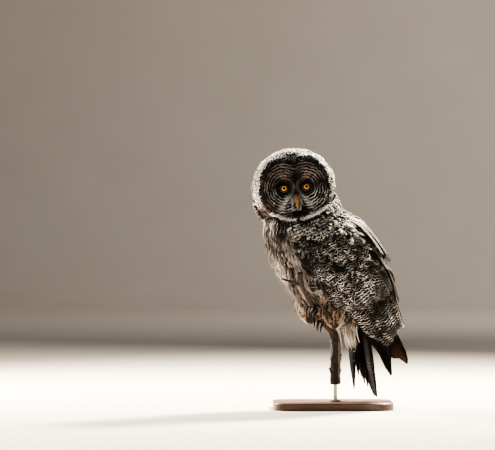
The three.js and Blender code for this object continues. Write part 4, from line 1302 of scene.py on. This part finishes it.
def feather_material(name, waver, share, bow=-0.2, roughness=0.62, barbs=0.35, painted_root_shade=(0.1, 0.6),
                     clouds=(0.5, 1.25), uneven=0.6, sheen=0.04):
    """Share is how much of each bar's length is pale, waver how many bars the noise shifts it by, bow how
    far its ends bend back, uneven the value of the darkest feathers. Ridges are coarser than barbs are, as
    real ones would not show."""
    material, tree, shader = new_material(name)
    vane, marks, drawn, deep, pale = (
        add(tree, "ShaderNodeAttribute", {"attribute_name": label}).outputs
        for label in ("vane", "marks", "draw", "deep", "pale")
    )
    across, along, place_along = add(tree, "ShaderNodeSeparateXYZ", i0=vane["Vector"]).outputs
    bar, streak, fringe = add(tree, "ShaderNodeSeparateXYZ", i0=marks["Vector"]).outputs
    draw = drawn["Fac"]
    place = add(tree, "ShaderNodeTexCoord").outputs["Object"]
    wander = add(tree, NOISE, Vector=place, Scale=FINE, Detail=2.0, Roughness=0.55)
    slow = add(tree, NOISE, Vector=place, Scale=COARSE, Detail=2.0)
    cloud = add(tree, NOISE, Vector=place, Scale=CLOUD, Detail=1.0)

    aside = add(tree, MATH, {"operation": "ABSOLUTE"}, i0=across)
    squared = add(tree, MATH, TIMES, i0=aside, i1=aside)
    bend = add(tree, MATH, TIMES_PLUS, i0=draw, i1=2 * bow, i2=-0.3 * bow)
    bowed = add(tree, MATH, TIMES_PLUS, i0=squared, i1=bend, i2=along)
    shifted = add(tree, MATH, TIMES_PLUS, i0=wander, i1=waver, i2=bowed)
    turns = add(tree, MATH, TIMES, i0=shifted, i1=2 * math.pi)
    wave = add(tree, MATH, {"operation": "SINE"}, i0=turns)
    cut = math.sin(math.pi * (0.5 - share))
    bars = add(tree, RANGE, SOFT, Value=wave, i1=cut - 0.22, i2=cut + 0.22)
    weak = add(tree, RANGE, Value=slow, i1=0.38, i2=0.6, i3=0.1, i4=1.2)
    marked = add(tree, MATH, TIMES, i0=bars, i1=bar)
    barred = add(tree, MATH, TIMES, i0=marked, i1=weak)
    tip = add(tree, RANGE, SOFT, Value=place_along, i1=0.8, i2=1.0)
    edge = add(tree, RANGE, SOFT, Value=aside, i1=0.75, i2=1.0)
    rim = add(tree, MATH, {"operation": "MAXIMUM"}, i0=tip, i1=edge)
    fringed = add(tree, MATH, TIMES, i0=rim, i1=fringe)
    light = add(tree, MATH, PLUS | HELD, i0=barred, i1=fringed)
    shaft = add(tree, RANGE, SOFT, Value=aside, i1=0.6, i2=0.2)
    streaks = add(tree, MATH, TIMES, i0=shaft, i1=streak)
    kept = add(tree, MATH, {"operation": "SUBTRACT"} | HELD, i0=1.0, i1=streaks)
    light = add(tree, MATH, TIMES, i0=light, i1=kept)
    mixed = add(tree, "ShaderNodeMix", COLOURED, i0=light, i6=deep["Color"], i7=pale["Color"]).outputs[2]

    own = add(tree, RANGE, Value=draw, i3=uneven, i4=1.3)
    # Painted shade: each vane is darker towards its root, where the feathers lying over it would shade it.
    root = add(tree, RANGE, Value=place_along, i1=painted_root_shade[0], i2=painted_root_shade[1], i3=0.12, i4=1.0)
    broad = add(tree, RANGE, Value=cloud, i1=0.38, i2=0.62, i3=clouds[0], i4=clouds[1])
    shaded = add(tree, MATH, TIMES, i0=own, i1=root)
    value = add(tree, MATH, TIMES, i0=shaded, i1=broad)
    colour = add(tree, "ShaderNodeHueSaturation", Value=value, Color=mixed)
    slant = add(tree, MATH, TIMES_PLUS, i0=aside, i1=1.3, i2=along)
    wound = add(tree, MATH, TIMES, i0=slant, i1=34.0)
    ridges = add(tree, MATH, {"operation": "SINE"}, i0=wound)
    relief = add(tree, BUMP, Strength=barbs, Distance=0.0004, Height=ridges)
    join(tree, shader, Base_Color=colour, Normal=relief, Roughness=roughness, Specular_IOR_Level=0.08,
         Sheen_Weight=sheen, Sheen_Roughness=0.5)
    return material


# The root spans below set how far each kind of vane is darkened towards its root as painted shade.
body_feathers = feather_material("contour_feather_keratin", waver=1.7, share=0.34)
face_feathers = feather_material("face_feather_keratin", waver=1.5, share=0.32, painted_root_shade=(0.0, 0.3),
                                 clouds=(0.7, 1.15))
covert_feathers = feather_material("covert_feather_keratin", waver=2.6, share=0.24, bow=0.5, roughness=0.6,
                                   barbs=0.45, painted_root_shade=(0.35, 0.85), clouds=(0.12, 1.25), uneven=0.25)
flight_feathers = feather_material("flight_feather_keratin", waver=2.0, share=0.23, bow=0.3, roughness=0.75,
                                   barbs=0.5, painted_root_shade=(0.35, 0.8), clouds=(0.15, 1.1), uneven=0.4,
                                   sheen=0.0)
print("nodes in the feather material:", len(body_feathers.node_tree.nodes))

# %% Grow the coat
def bars_in_units(groups):
    """Turns the place along the bars from millimetres to bars. Where a feather's bars don't join its
    neighbours', it starts at its own place."""
    for group in groups:
        looks = group["looks"]
        period, draw = (looks[key][:, None, None] for key in ("period", "draw"))
        if "joined" in group:
            group["vane"][..., 1] = group["joined"] / period + 0.4 * draw
        elif "ringed" not in group:
            group["vane"][..., 1] = group["vane"][..., 1] / period + 3 * draw
    return groups


for name, groups in coat_groups.items():
    material = {"coat_face": face_feathers, "coat_shoulders": covert_feathers}.get(name, body_feathers)
    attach(coat(name, bars_in_units(groups), material), "root")
for side, name in ((1, "left"), (-1, "right")):
    groups = bars_in_units(wing_groups[side])
    for part, tiers, material in (
        ("flight", groups[:2], flight_feathers),
        ("coverts", groups[2:], covert_feathers),
    ):
        piece = coat(f"wing_{name}_{part}", tiers, material)
        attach(piece, "root")
        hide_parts(f"wing_{name}")
tail = coat("tail_feathers", bars_in_units(tail_groups), flight_feathers)
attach(tail, "root")
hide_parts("tail")

# %% The skin takes its markings from the feathers that grow in it
every = [group for groups in coat_groups.values() for group in groups]
root_places = np.concatenate([group["verts"][:, 0].mean(axis=1) for group in every])
root_deep = np.concatenate([group["looks"]["deep"] for group in every])
nearest = KDTree(len(root_places))
for i, place in enumerate(root_places):
    nearest.insert(place, i)
nearest.balance()
found = [nearest.find(Vector(point))[1] for point in skin_points]
skin_colour = np.column_stack([root_deep[found] * 0.8, np.ones(len(found))])
skin.data.attributes.new("deep", "FLOAT_COLOR", "POINT").data.foreach_set("color", skin_colour.ravel())

# Skin with down on it is dull and has no shine. Its down is drawn in tufts of about 3 mm.
skin_material, tree, shader = new_material("downy_skin")
tone = add(tree, "ShaderNodeAttribute", {"attribute_name": "deep"})
place = add(tree, "ShaderNodeTexCoord").outputs["Object"]
fluff = add(tree, NOISE, Vector=place, Scale=320.0, Detail=3.0)
level = add(tree, RANGE, Value=fluff, i3=0.6, i4=1.3)
toned = add(tree, "ShaderNodeHueSaturation", Value=level, Color=tone)
relief = add(tree, BUMP, Strength=0.6, Distance=0.001, Height=fluff)
join(tree, shader, Base_Color=toned, Normal=relief, Roughness=0.95)
skin.data.materials.append(skin_material)
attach(skin, "root")
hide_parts("torso", "neck", "head", "leg_left", "leg_right", "foot_left", "foot_right")
print("coat roots:", len(root_places))

# %% [markdown]
# ## Eyes and lids
# An owl's eye is a fixed tube, so only the front of a ball shows: a black pupil, a yellow iris with
# fine rays and a wet clear cornea over it. One ball with a bulge at the front is enough, coloured by
# its own front map, with a clear coat for the wet look. The lids are a bare black rim round it.

# %% Eyes
def eye_place(side):
    x, z = SHIFT + side * EYE["apart"], EYE["low"]
    y = -float(face_front(np.array(x), np.array(z))) + EYE["radius"] - EYE["proud"]
    centre = in_world(np.array([x, y, z]))
    axes = Matrix(HEAD_AXES) @ Matrix.Rotation(math.radians(side * EYE["outwards"]), 3, "Z")
    return Matrix.Translation(Vector(centre) * MM) @ axes.to_4x4()


def eye_material():
    """A wet cornea over a dull iris gives one small sharp highlight. The rays are noise on the front map."""
    material, tree, shader = new_material("wet_eye")
    uv = add(tree, "ShaderNodeUVMap", {"uv_map": "front"})
    centred = add(tree, "ShaderNodeVectorMath", {"operation": "SUBTRACT"}, i0=uv, i1=(0.5, 0.5, 0))
    radius = add(tree, "ShaderNodeVectorMath", {"operation": "LENGTH"}, i0=centred).outputs[1]
    rays = add(tree, NOISE, Vector=uv, Scale=26.0, Detail=3.0)
    uneven = add(tree, MATH, TIMES_PLUS, i0=rays, i1=0.03, i2=radius)
    ramp = add(tree, RAMP, Fac=uneven)
    set_stops(ramp, (0.0, "#050403"), (0.162, "#050403"), (0.17, "#7a3f05"), (0.186, "#dc8f12"),
              (0.225, "#f0b030"), (0.25, "#a86410"), (0.262, "#0b0704"), (1.0, "#080605"))
    join(tree, shader, Base_Color=ramp, Roughness=0.25, IOR=1.38, Specular_IOR_Level=0.1, Coat_Weight=0.5,
         Coat_Roughness=0.0)
    return material


wet_eye = eye_material()
for side, name in ((1, "left"), (-1, "right")):
    radius = EYE["radius"] * MM
    bm = bmesh.new()
    bmesh.ops.create_uvsphere(bm, u_segments=48, v_segments=32, radius=radius)
    bmesh.ops.rotate(bm, verts=bm.verts, matrix=Matrix.Rotation(math.pi / 2, 3, "X"))
    front = bm.loops.layers.uv.new("front")
    for vert in bm.verts:
        out = math.hypot(vert.co.x, vert.co.z) / radius
        if vert.co.y < 0:
            vert.co.y -= EYE["bulge"] * MM * math.exp(-(out / 0.6) ** 4)
        else:
            vert.co.y *= EYE["back"]
    for face in bm.faces:
        for loop in face.loops:
            co = loop.vert.co / radius
            loop[front].uv = (0.5 + 0.5 * co.x, 0.5 + 0.5 * co.z) if co.y < 0.1 else (0.98, 0.5)
    bmesh.ops.transform(bm, matrix=eye_place(side), verts=bm.verts)
    eye = put(bm, f"eye_{name}_ball", wet_eye)
    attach(eye, "root")
    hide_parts(f"eye_{name}")

# %% Lids
# Bare black skin, a little greasy, so its edge glints. Its wrinkles are about 1 mm apart.
lid_material, tree, shader = new_material("bare_lid_skin")
place = add(tree, "ShaderNodeTexCoord").outputs["Object"]
wrinkle = add(tree, NOISE, Vector=place, Scale=900.0, Detail=3.0)
tint = add(tree, RAMP, Fac=wrinkle)
set_stops(tint, (0.0, "#080706"), (1.0, "#1d1815"))
relief = add(tree, BUMP, Strength=0.5, Distance=0.0004, Height=wrinkle)
join(tree, shader, Base_Color=tint, Normal=relief, Roughness=0.55)

LID = {"opening": 5.9, "thick": 2.5, "upper": 0.78, "slant": math.radians(14), "forward": 7.4}
bm = bmesh.new()
for side in (1, -1):
    ring = bmesh.ops.create_circle(bm, segments=12, radius=LID["thick"] * MM)["verts"]
    bmesh.ops.scale(bm, vec=(1, 1.3, 1), verts=ring)
    bmesh.ops.translate(bm, vec=((LID["opening"] + LID["thick"]) * MM, 0, 0), verts=ring)
    edges = list({e for v in ring for e in v.link_edges})
    bmesh.ops.spin(bm, geom=ring + edges, axis=(0, 1, 0), cent=(0, 0, 0), angle=2 * math.pi, steps=48,
                   use_merge=True)
    whole = [v for v in bm.verts if not v.tag]
    for vert in whole:
        vert.tag = True
        if vert.co.z > 0:
            vert.co.z *= LID["upper"]
            vert.co.y -= 0.08 * vert.co.z
    bmesh.ops.rotate(bm, verts=whole, cent=(0, 0, 0), matrix=Matrix.Rotation(-side * LID["slant"], 3, "Y"))
    bmesh.ops.translate(bm, vec=(0, -LID["forward"] * MM, 0), verts=whole)
    bmesh.ops.transform(bm, matrix=eye_place(side), verts=whole)
bmesh.ops.recalc_face_normals(bm, faces=bm.faces)
lids = put(bm, "eyelids", lid_material)
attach(lids, "root")

# %% [markdown]
# ## Bill and claws
# Both are horn over bone: the bill is dull yellow and darker towards its tip, the claws are black and
# worn smooth. They could be sculpted, but each is a round section drawn along a bent line, so they are
# lofted through rings, finer than the frame's and a little different in size.

# %% Bill
# Rows of sideways, ahead (negative) and height in the head's axes, then half width and half depth
BILL_TOP = np.array([
    [0, 14, -28, 5.5, 6.5], [0, 2, -30, 6.0, 6.6], [0, -6, -34, 5.6, 6.2], [0, -11, -41, 4.7, 5.2],
    [0, -13, -48, 3.6, 3.8], [0, -12, -55, 2.1, 2.4], [0, -10, -60, 0.8, 0.9],
])
BILL_LOW = np.array([
    [0, 12, -44, 5, 3.6], [0, 3, -47, 5, 3.2], [0, -3, -50.5, 3.6, 2.4], [0, -6, -53.5, 1.6, 1.2],
])
BILL_ROOT = -float(face_front(np.array(float(SHIFT)), np.array(-30.0)))
NOSTRIL = {"aside": 5.2, "ahead": 6.4, "height": -32, "deep": 1.6, "wide": 1.5}


def ring_at(centre, across, other, wide, deep, count):
    turns = turns_round(count)
    return centre + np.outer(wide * np.cos(turns), across) + np.outer(deep * np.sin(turns), other)


def bill_rings(rows, count=32, steps=26):
    rings = []
    centres = rows[:, :3] + [SHIFT, BILL_ROOT, 0]
    table = np.column_stack([np.linspace(0, 1, len(rows)), rows[:, 3:]])
    keel = 1 + 0.1 * np.abs(np.sin(turns_round(count))) ** 6
    for t in np.linspace(0, 1, steps):
        way = unit(curve_at(centres, t + 0.01) - curve_at(centres, t - 0.01))
        wide, deep = between(table, np.array(t))
        out = unit(np.cross([1, 0, 0], way))
        rings.append(in_world(ring_at(curve_at(centres, t), [1, 0, 0], out, wide, deep * keel, count)))
    return rings


def horn(name, dark, pale, lines_scale, low, high, gloss):
    """Layered horn, worn smooth, has a soft gloss. It goes from dark to pale between two heights, and its
    growth lines are a few millimetres apart, coarser than real ones, so that they show."""
    material, tree, shader = new_material(name)
    place = add(tree, "ShaderNodeTexCoord").outputs["Object"]
    growth = add(tree, NOISE, Vector=place, Scale=lines_scale, Detail=3.0)
    height = add(tree, "ShaderNodeSeparateXYZ", i0=place).outputs["Z"]
    rise = add(tree, RANGE, Value=height, i1=low, i2=high)
    mixed = add(tree, MATH, TIMES_PLUS, i0=growth, i1=0.35, i2=rise)
    ramp = add(tree, RAMP, Fac=mixed)
    set_stops(ramp, (0.0, dark), (1.0, pale))
    relief = add(tree, BUMP, Strength=0.25, Distance=0.0003, Height=growth)
    join(tree, shader, Base_Color=ramp, Normal=relief, Roughness=0.45, Specular_IOR_Level=gloss, IOR=1.55)
    return material


bill_horn = horn("bill_horn", "#30230f", "#7d602e", 260.0, low=0.49, high=0.53, gloss=0.4)
for name, rows in (("upper", BILL_TOP), ("lower", BILL_LOW)):
    bm = bmesh.new()
    add_loft(bm, bill_rings(rows))
    for side in (1, -1) if name == "upper" else ():
        hole = np.array([SHIFT + side * NOSTRIL["aside"], BILL_ROOT - NOSTRIL["ahead"], NOSTRIL["height"]])
        hole = Vector(in_world(hole)) * MM
        for vert in bm.verts:
            gap = (vert.co - hole).length / MM
            pressed = side * NOSTRIL["deep"] * MM * math.exp(-(gap / NOSTRIL["wide"]) ** 2)
            vert.co -= Vector(HEAD_AXES[:, 0]) * pressed
    piece = put(bm, f"bill_{name}_horn", bill_horn)
    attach(piece, "root")
    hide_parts(f"bill_{name}")

# %% Claws
CLAW = {"sunk": 2, "length": 29, "radius": 3.625, "tip": 0.4, "taper": 1.5, "joints": 5}
claw_horn = horn("claw_horn", "#040303", "#120e0b", 400.0, low=0.0, high=1.0, gloss=0.1)


def claw_rings(foot, shift, side):
    """Rings along a claw that leaves the toe's end and bends down to a point."""
    grip = grip_frame(foot, shift)
    end = toe_point(grip, side, float(TOE_TO))
    way = unit(end - toe_point(grip, side, TOE_TO - 6.0))
    line = [end - way * CLAW["sunk"]]
    for k in range(1, CLAW["joints"] + 1):
        turned = unit(mix(way, np.array([0.1, 0, -1]), 0.15 + 0.85 * k / CLAW["joints"]))
        line.append(line[-1] + turned * CLAW["length"] / CLAW["joints"])
    line = np.array(line)
    rings = []
    for t in np.linspace(0, 1, 16):
        along = unit(curve_at(line, t + 0.02) - curve_at(line, t - 0.02))
        across = unit(np.cross(along, [0.3, 1, 0.1]))
        radius = mix(CLAW["radius"], CLAW["tip"], t ** CLAW["taper"])
        rings.append(ring_at(curve_at(line, t), across, np.cross(along, across), radius, radius, 16))
    return rings


for name, foot in FEET.items():
    bm = bmesh.new()
    for shift, side in foot["toes"]:
        add_loft(bm, claw_rings(foot, shift, side))
    claws = put(bm, f"claws_{name}", claw_horn)
    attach(claws, "root")
    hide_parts(*[f"claw_{name}_{i}" for i in range(1, 5)])

# %% [markdown]
# ## Perch
# The sapling's bark is brown and smooth above, darker, flaked and knotty below, with a grey strip
# where it has peeled. It is lofted along the stem's line with far more rings than the frame has, and the
# rings are pushed in and out by noise, so that the knots and flakes are real shape.

# %% Perch
SNAGS = [  # place along the stem, way out, length, radius
    (0.08, (-1, -0.4, 0.2), 11, 2.6), (0.15, (1, -0.3, 0.35), 10, 2.4),
    (0.27, (-1, -0.2, 0.1), 7, 2.2), (0.87, (-1, -0.15, 0.25), 46, 2.7),
]
SNAG_FROM_MIDDLE, SNAG_RISE, SNAG_SWAY = 7, 4, 0.5


def tube_rings(line, radii, count, rough):
    """Rings round a line of points, roughened by noise in proportion to rough."""
    rings, across = [], np.array([0, 1, 0.2])
    for k, centre in enumerate(line):
        way = unit(line[min(k + 1, len(line) - 1)] - line[max(k - 1, 0)])
        across = unit(across - way * (across @ way))
        other = np.cross(way, across)
        out = ring_at(0, across, other, 1, 1, count)
        flakes = np.array([
            noise.noise(Vector(centre * 0.05) + Vector(o) * 1.6)
            + 0.5 * noise.noise(Vector(centre * 0.16) + Vector(o) * 4)
            for o in out
        ])
        rings.append(centre + out * (radii[k] * (1 + rough[k] * flakes))[:, None])
    return rings


bm = bmesh.new()
steps = np.linspace(0, 1, 150)
stations = [stem_at(t) for t in steps]
rough = 0.03 + 0.09 * smooth(steps, 0.5, 0.25)
radii = np.array([radius for _, _, radius in stations])
for t, _, _, _ in SNAGS:
    radii = radii * (1 + 0.16 * bump(steps - t, 0.012))
add_loft(bm, tube_rings([centre for centre, _, _ in stations], radii, 40, rough))
shares = np.linspace(0, 1, 18)
taper = np.interp(shares, [0, 0.45, 0.75, 0.96, 1], [1.5, 1.15, 1, 0.85, 0.6])
for t, way, length, radius in SNAGS:
    out = unit(np.array(way, float)) * (length + SNAG_FROM_MIDDLE)
    line = []
    for k in shares:
        sway = [noise.noise(Vector((k * 5, 1, t * 9))), 0, noise.noise(Vector((k * 5, 7, t * 9)))]
        line.append(stem_at(t)[0] + out * k + [0, 0, SNAG_RISE * k * k] + SNAG_SWAY * np.array(sway))
    add_loft(bm, tube_rings(line, taper * radius, 20, np.full(18, 0.08)))


def bark_material():
    """Young bark is dull and fibrous above. Low down it is dark and flaked, with a smooth grey strip where it
    has peeled. Fibres are drawn 2 mm across, coarser than real ones, and patches 14 mm."""
    material, tree, shader = new_material("sapling_bark")
    place = add(tree, "ShaderNodeTexCoord").outputs["Object"]
    stretched = add(tree, "ShaderNodeMapping", Vector=place, Scale=(1.0, 1.0, 0.3))
    fibre = add(tree, NOISE, Vector=stretched, Scale=420.0, Detail=4.0, Roughness=0.65)
    patch = add(tree, NOISE, Vector=place, Scale=70.0, Detail=3.0, Roughness=0.6)
    parts = add(tree, "ShaderNodeSeparateXYZ", i0=place).outputs
    low = add(tree, RANGE, SOFT, Value=parts["Z"], i1=0.2, i2=0.15)
    tan = add(tree, RAMP, Fac=fibre)
    set_stops(tan, (0.3, "#140c07"), (0.7, "#331f13"))
    dark = add(tree, RAMP, Fac=patch)
    set_stops(dark, (0.42, "#0f0b08"), (0.62, "#20150e"))
    bark = add(tree, "ShaderNodeMix", COLOURED, i0=low, i6=tan, i7=dark).outputs[2]
    shifted = add(tree, MATH, TIMES_PLUS, i0=patch, i1=0.008, i2=parts["X"])
    strip = add(tree, RANGE, SOFT, Value=shifted, i1=0.0165, i2=0.0178)
    peeled = add(tree, MATH, TIMES, i0=strip, i1=low)
    bark = add(tree, "ShaderNodeMix", COLOURED, i0=peeled, i6=bark, i7=rgba("#5a4e46")).outputs[2]
    both = add(tree, MATH, TIMES_PLUS, i0=patch, i1=1.5, i2=fibre)
    relief = add(tree, BUMP, Strength=0.7, Distance=0.0012, Height=both)
    join(tree, shader, Base_Color=bark, Normal=relief, Roughness=0.85)
    return material


perch = put(bm, "perch_sapling", bark_material())
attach(perch, "root")
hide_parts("perch")

# %% [markdown]
# ## Display stand
# A museum stand is plain: a flat wooden base, stained dark and rubbed with wax, and a short steel
# rod in a collar. The base is a cube with its corners and then its edges bevelled.

# %% Stand
BASE = {"long": 300, "wide": 230, "thick": 18, "corner": 46, "edge": 2.5}
ROD_RADIUS, PERCH_LOW, GAP = 5, 62, 0.3
COLLAR = {"radius": 13.5, "thick": 5}
ROUNDED = 0.6


def wood_material():
    """Oak that is planed, stained and waxed has a low sheen over long grain. The grain is drawn 5 mm across
    and ten times as long, coarser than real grain."""
    material, tree, shader = new_material("stained_oak")
    place = add(tree, "ShaderNodeTexCoord").outputs["Object"]
    drawn = add(tree, "ShaderNodeMapping", Vector=place, Scale=(0.09, 1.0, 1.0))
    grain = add(tree, NOISE, Vector=drawn, Scale=210.0, Detail=5.0, Roughness=0.6)
    bands = {"wave_type": "BANDS", "bands_direction": "Y"}
    figure = add(tree, "ShaderNodeTexWave", bands, Vector=drawn, Scale=9.0, Distortion=7.0, Detail=3.0)
    both = add(tree, MATH, TIMES_PLUS, i0=figure.outputs["Fac"], i1=0.35, i2=grain)
    ramp = add(tree, RAMP, Fac=both)
    set_stops(ramp, (0.35, "#21140c"), (0.95, "#5d3b25"))
    relief = add(tree, BUMP, Strength=0.2, Distance=0.0003, Height=grain)
    join(tree, shader, Base_Color=ramp, Normal=relief, Roughness=0.38, IOR=1.5)
    return material


def steel_material():
    """Steel brushed round the rod has its shine broken into fine rings, drawn 0.4 mm apart."""
    material, tree, shader = new_material("brushed_steel")
    place = add(tree, "ShaderNodeTexCoord").outputs["Object"]
    flat = add(tree, "ShaderNodeMapping", Vector=place, Scale=(0.06, 0.06, 1.0))
    brushed = add(tree, NOISE, Vector=flat, Scale=2500.0, Detail=2.0)
    ramp = add(tree, RAMP, Fac=brushed)
    set_stops(ramp, (0.0, "#8c8b89"), (1.0, "#b5b4b1"))
    join(tree, shader, Base_Color=ramp, Metallic=1.0, Roughness=0.32)
    return material


bm = bmesh.new()
bmesh.ops.create_cube(bm, size=1)
bmesh.ops.scale(bm, vec=(BASE["long"] * MM, BASE["wide"] * MM, BASE["thick"] * MM), verts=bm.verts)
bmesh.ops.translate(bm, vec=(0, 0, BASE["thick"] * MM / 2), verts=bm.verts)
upright = [e for e in bm.edges if abs(e.verts[0].co.z - e.verts[1].co.z) > 0.001]
bmesh.ops.bevel(bm, geom=upright, offset=BASE["corner"] * MM, segments=20, profile=0.5, affect="EDGES",
                material=-1)
rims = [e for e in bm.edges if len({round(v.co.z, 5) for v in e.verts}) == 1]
bmesh.ops.bevel(bm, geom=rims, offset=BASE["edge"] * MM, segments=5, profile=0.5, affect="EDGES", material=-1)
base = put(bm, "stand_base_board", wood_material(), smooth_faces=False)
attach(base, "root")
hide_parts("stand_base")

bm = bmesh.new()
low, high = (BASE["thick"] + GAP) * MM, (PERCH_LOW - GAP) * MM
for radius, top in ((ROD_RADIUS, high), (COLLAR["radius"], low + COLLAR["thick"] * MM)):
    made = bmesh.ops.create_cone(bm, cap_ends=True, segments=48, radius1=radius * MM, radius2=radius * MM,
                                 depth=top - low)["verts"]
    bmesh.ops.translate(bm, vec=(STEM[0][0] * MM, STEM[0][1] * MM, (low + top) / 2), verts=made)
sharp = [e for e in bm.edges if len(e.link_faces) == 2 and e.calc_face_angle() > 1]
bmesh.ops.bevel(bm, geom=sharp, offset=ROUNDED * MM, segments=3, profile=0.5, affect="EDGES", material=-1)
rod = put(bm, "stand_rod_steel", steel_material(), smooth_faces=False)
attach(rod, "root")
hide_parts("stand_rod")

# %% [markdown]
# ## Light and floor
# The photograph has the sun high behind the bird on the right, which rims its crown and back, and a
# soft sky in front. In a studio a big soft panel in front and two small strong ones behind give the
# same. The floor is one sheet that bends up far behind the bird, beyond any camera, so that it shows
# no edge, and a fourth panel lights that part alone.

# %% Floor, light and world
# Matt paint, with mottling a third of a metre across that is too faint to read as a pattern
floor_material, tree, shader = new_material("painted_floor")
place = add(tree, "ShaderNodeTexCoord").outputs["Object"]
mottle = add(tree, NOISE, Vector=place, Scale=3.0, Detail=2.0)
tint = add(tree, RAMP, Fac=mottle)
set_stops(tint, (0.0, "#a7a198"), (1.0, "#b0aaa1"))
join(tree, shader, Base_Color=tint, Roughness=0.9)
FLOOR = {"wide": 44, "long": 36, "front": -16, "flat_to": 9.5, "bend": 2.0}
bm = bmesh.new()
bmesh.ops.create_grid(bm, x_segments=1, y_segments=240, size=0.5)
bmesh.ops.scale(bm, vec=(FLOOR["wide"], FLOOR["long"], 1), verts=bm.verts)
bmesh.ops.translate(bm, vec=(0, FLOOR["front"] + FLOOR["long"] / 2, 0), verts=bm.verts)
for vert in bm.verts:
    past = vert.co.y - FLOOR["flat_to"]
    if past > 0:
        turn = min(past / FLOOR["bend"], math.pi / 2)
        vert.co.y = FLOOR["flat_to"] + FLOOR["bend"] * math.sin(turn)
        vert.co.z = FLOOR["bend"] * (1 - math.cos(turn)) + past - turn * FLOOR["bend"]
floor = put(bm, "floor", floor_material)

world = bpy.data.worlds.new("studio")
bpy.context.scene.world = world
world.use_nodes = True
join(world.node_tree, world.node_tree.nodes["Background"], i0=rgba("#d6d9df"), i1=0.2)


def panel(name, place, target, size, power, tint):
    light = bpy.data.lights.new(name, "AREA")
    light.size = size
    light.energy = power
    light.color = tuple(linear(tint))
    lamp = bpy.data.objects.new(name, light)
    lamp.location = place
    lamp.rotation_euler = (Vector(target) - Vector(place)).to_track_quat("-Z", "Y").to_euler()
    bpy.context.scene.collection.objects.link(lamp)
    print(name, "lamp of", power, "W")


panel("key", (-1.6, -2.6, 2.3), (-0.05, 0, 0.4), size=1.2, power=38, tint="#f2f5ff")
panel("rim", (0.9, 1.3, 1.9), (0, 0, 0.42), size=0.4, power=850, tint="#fff1de")
panel("rim_left", (-1.6, 1.3, 1.3), (-0.05, 0, 0.4), size=0.4, power=480, tint="#fff1de")
panel("backdrop", (3, 6.5, 4), (0, 11.5, 0.8), size=2, power=280, tint="#fff4e6")
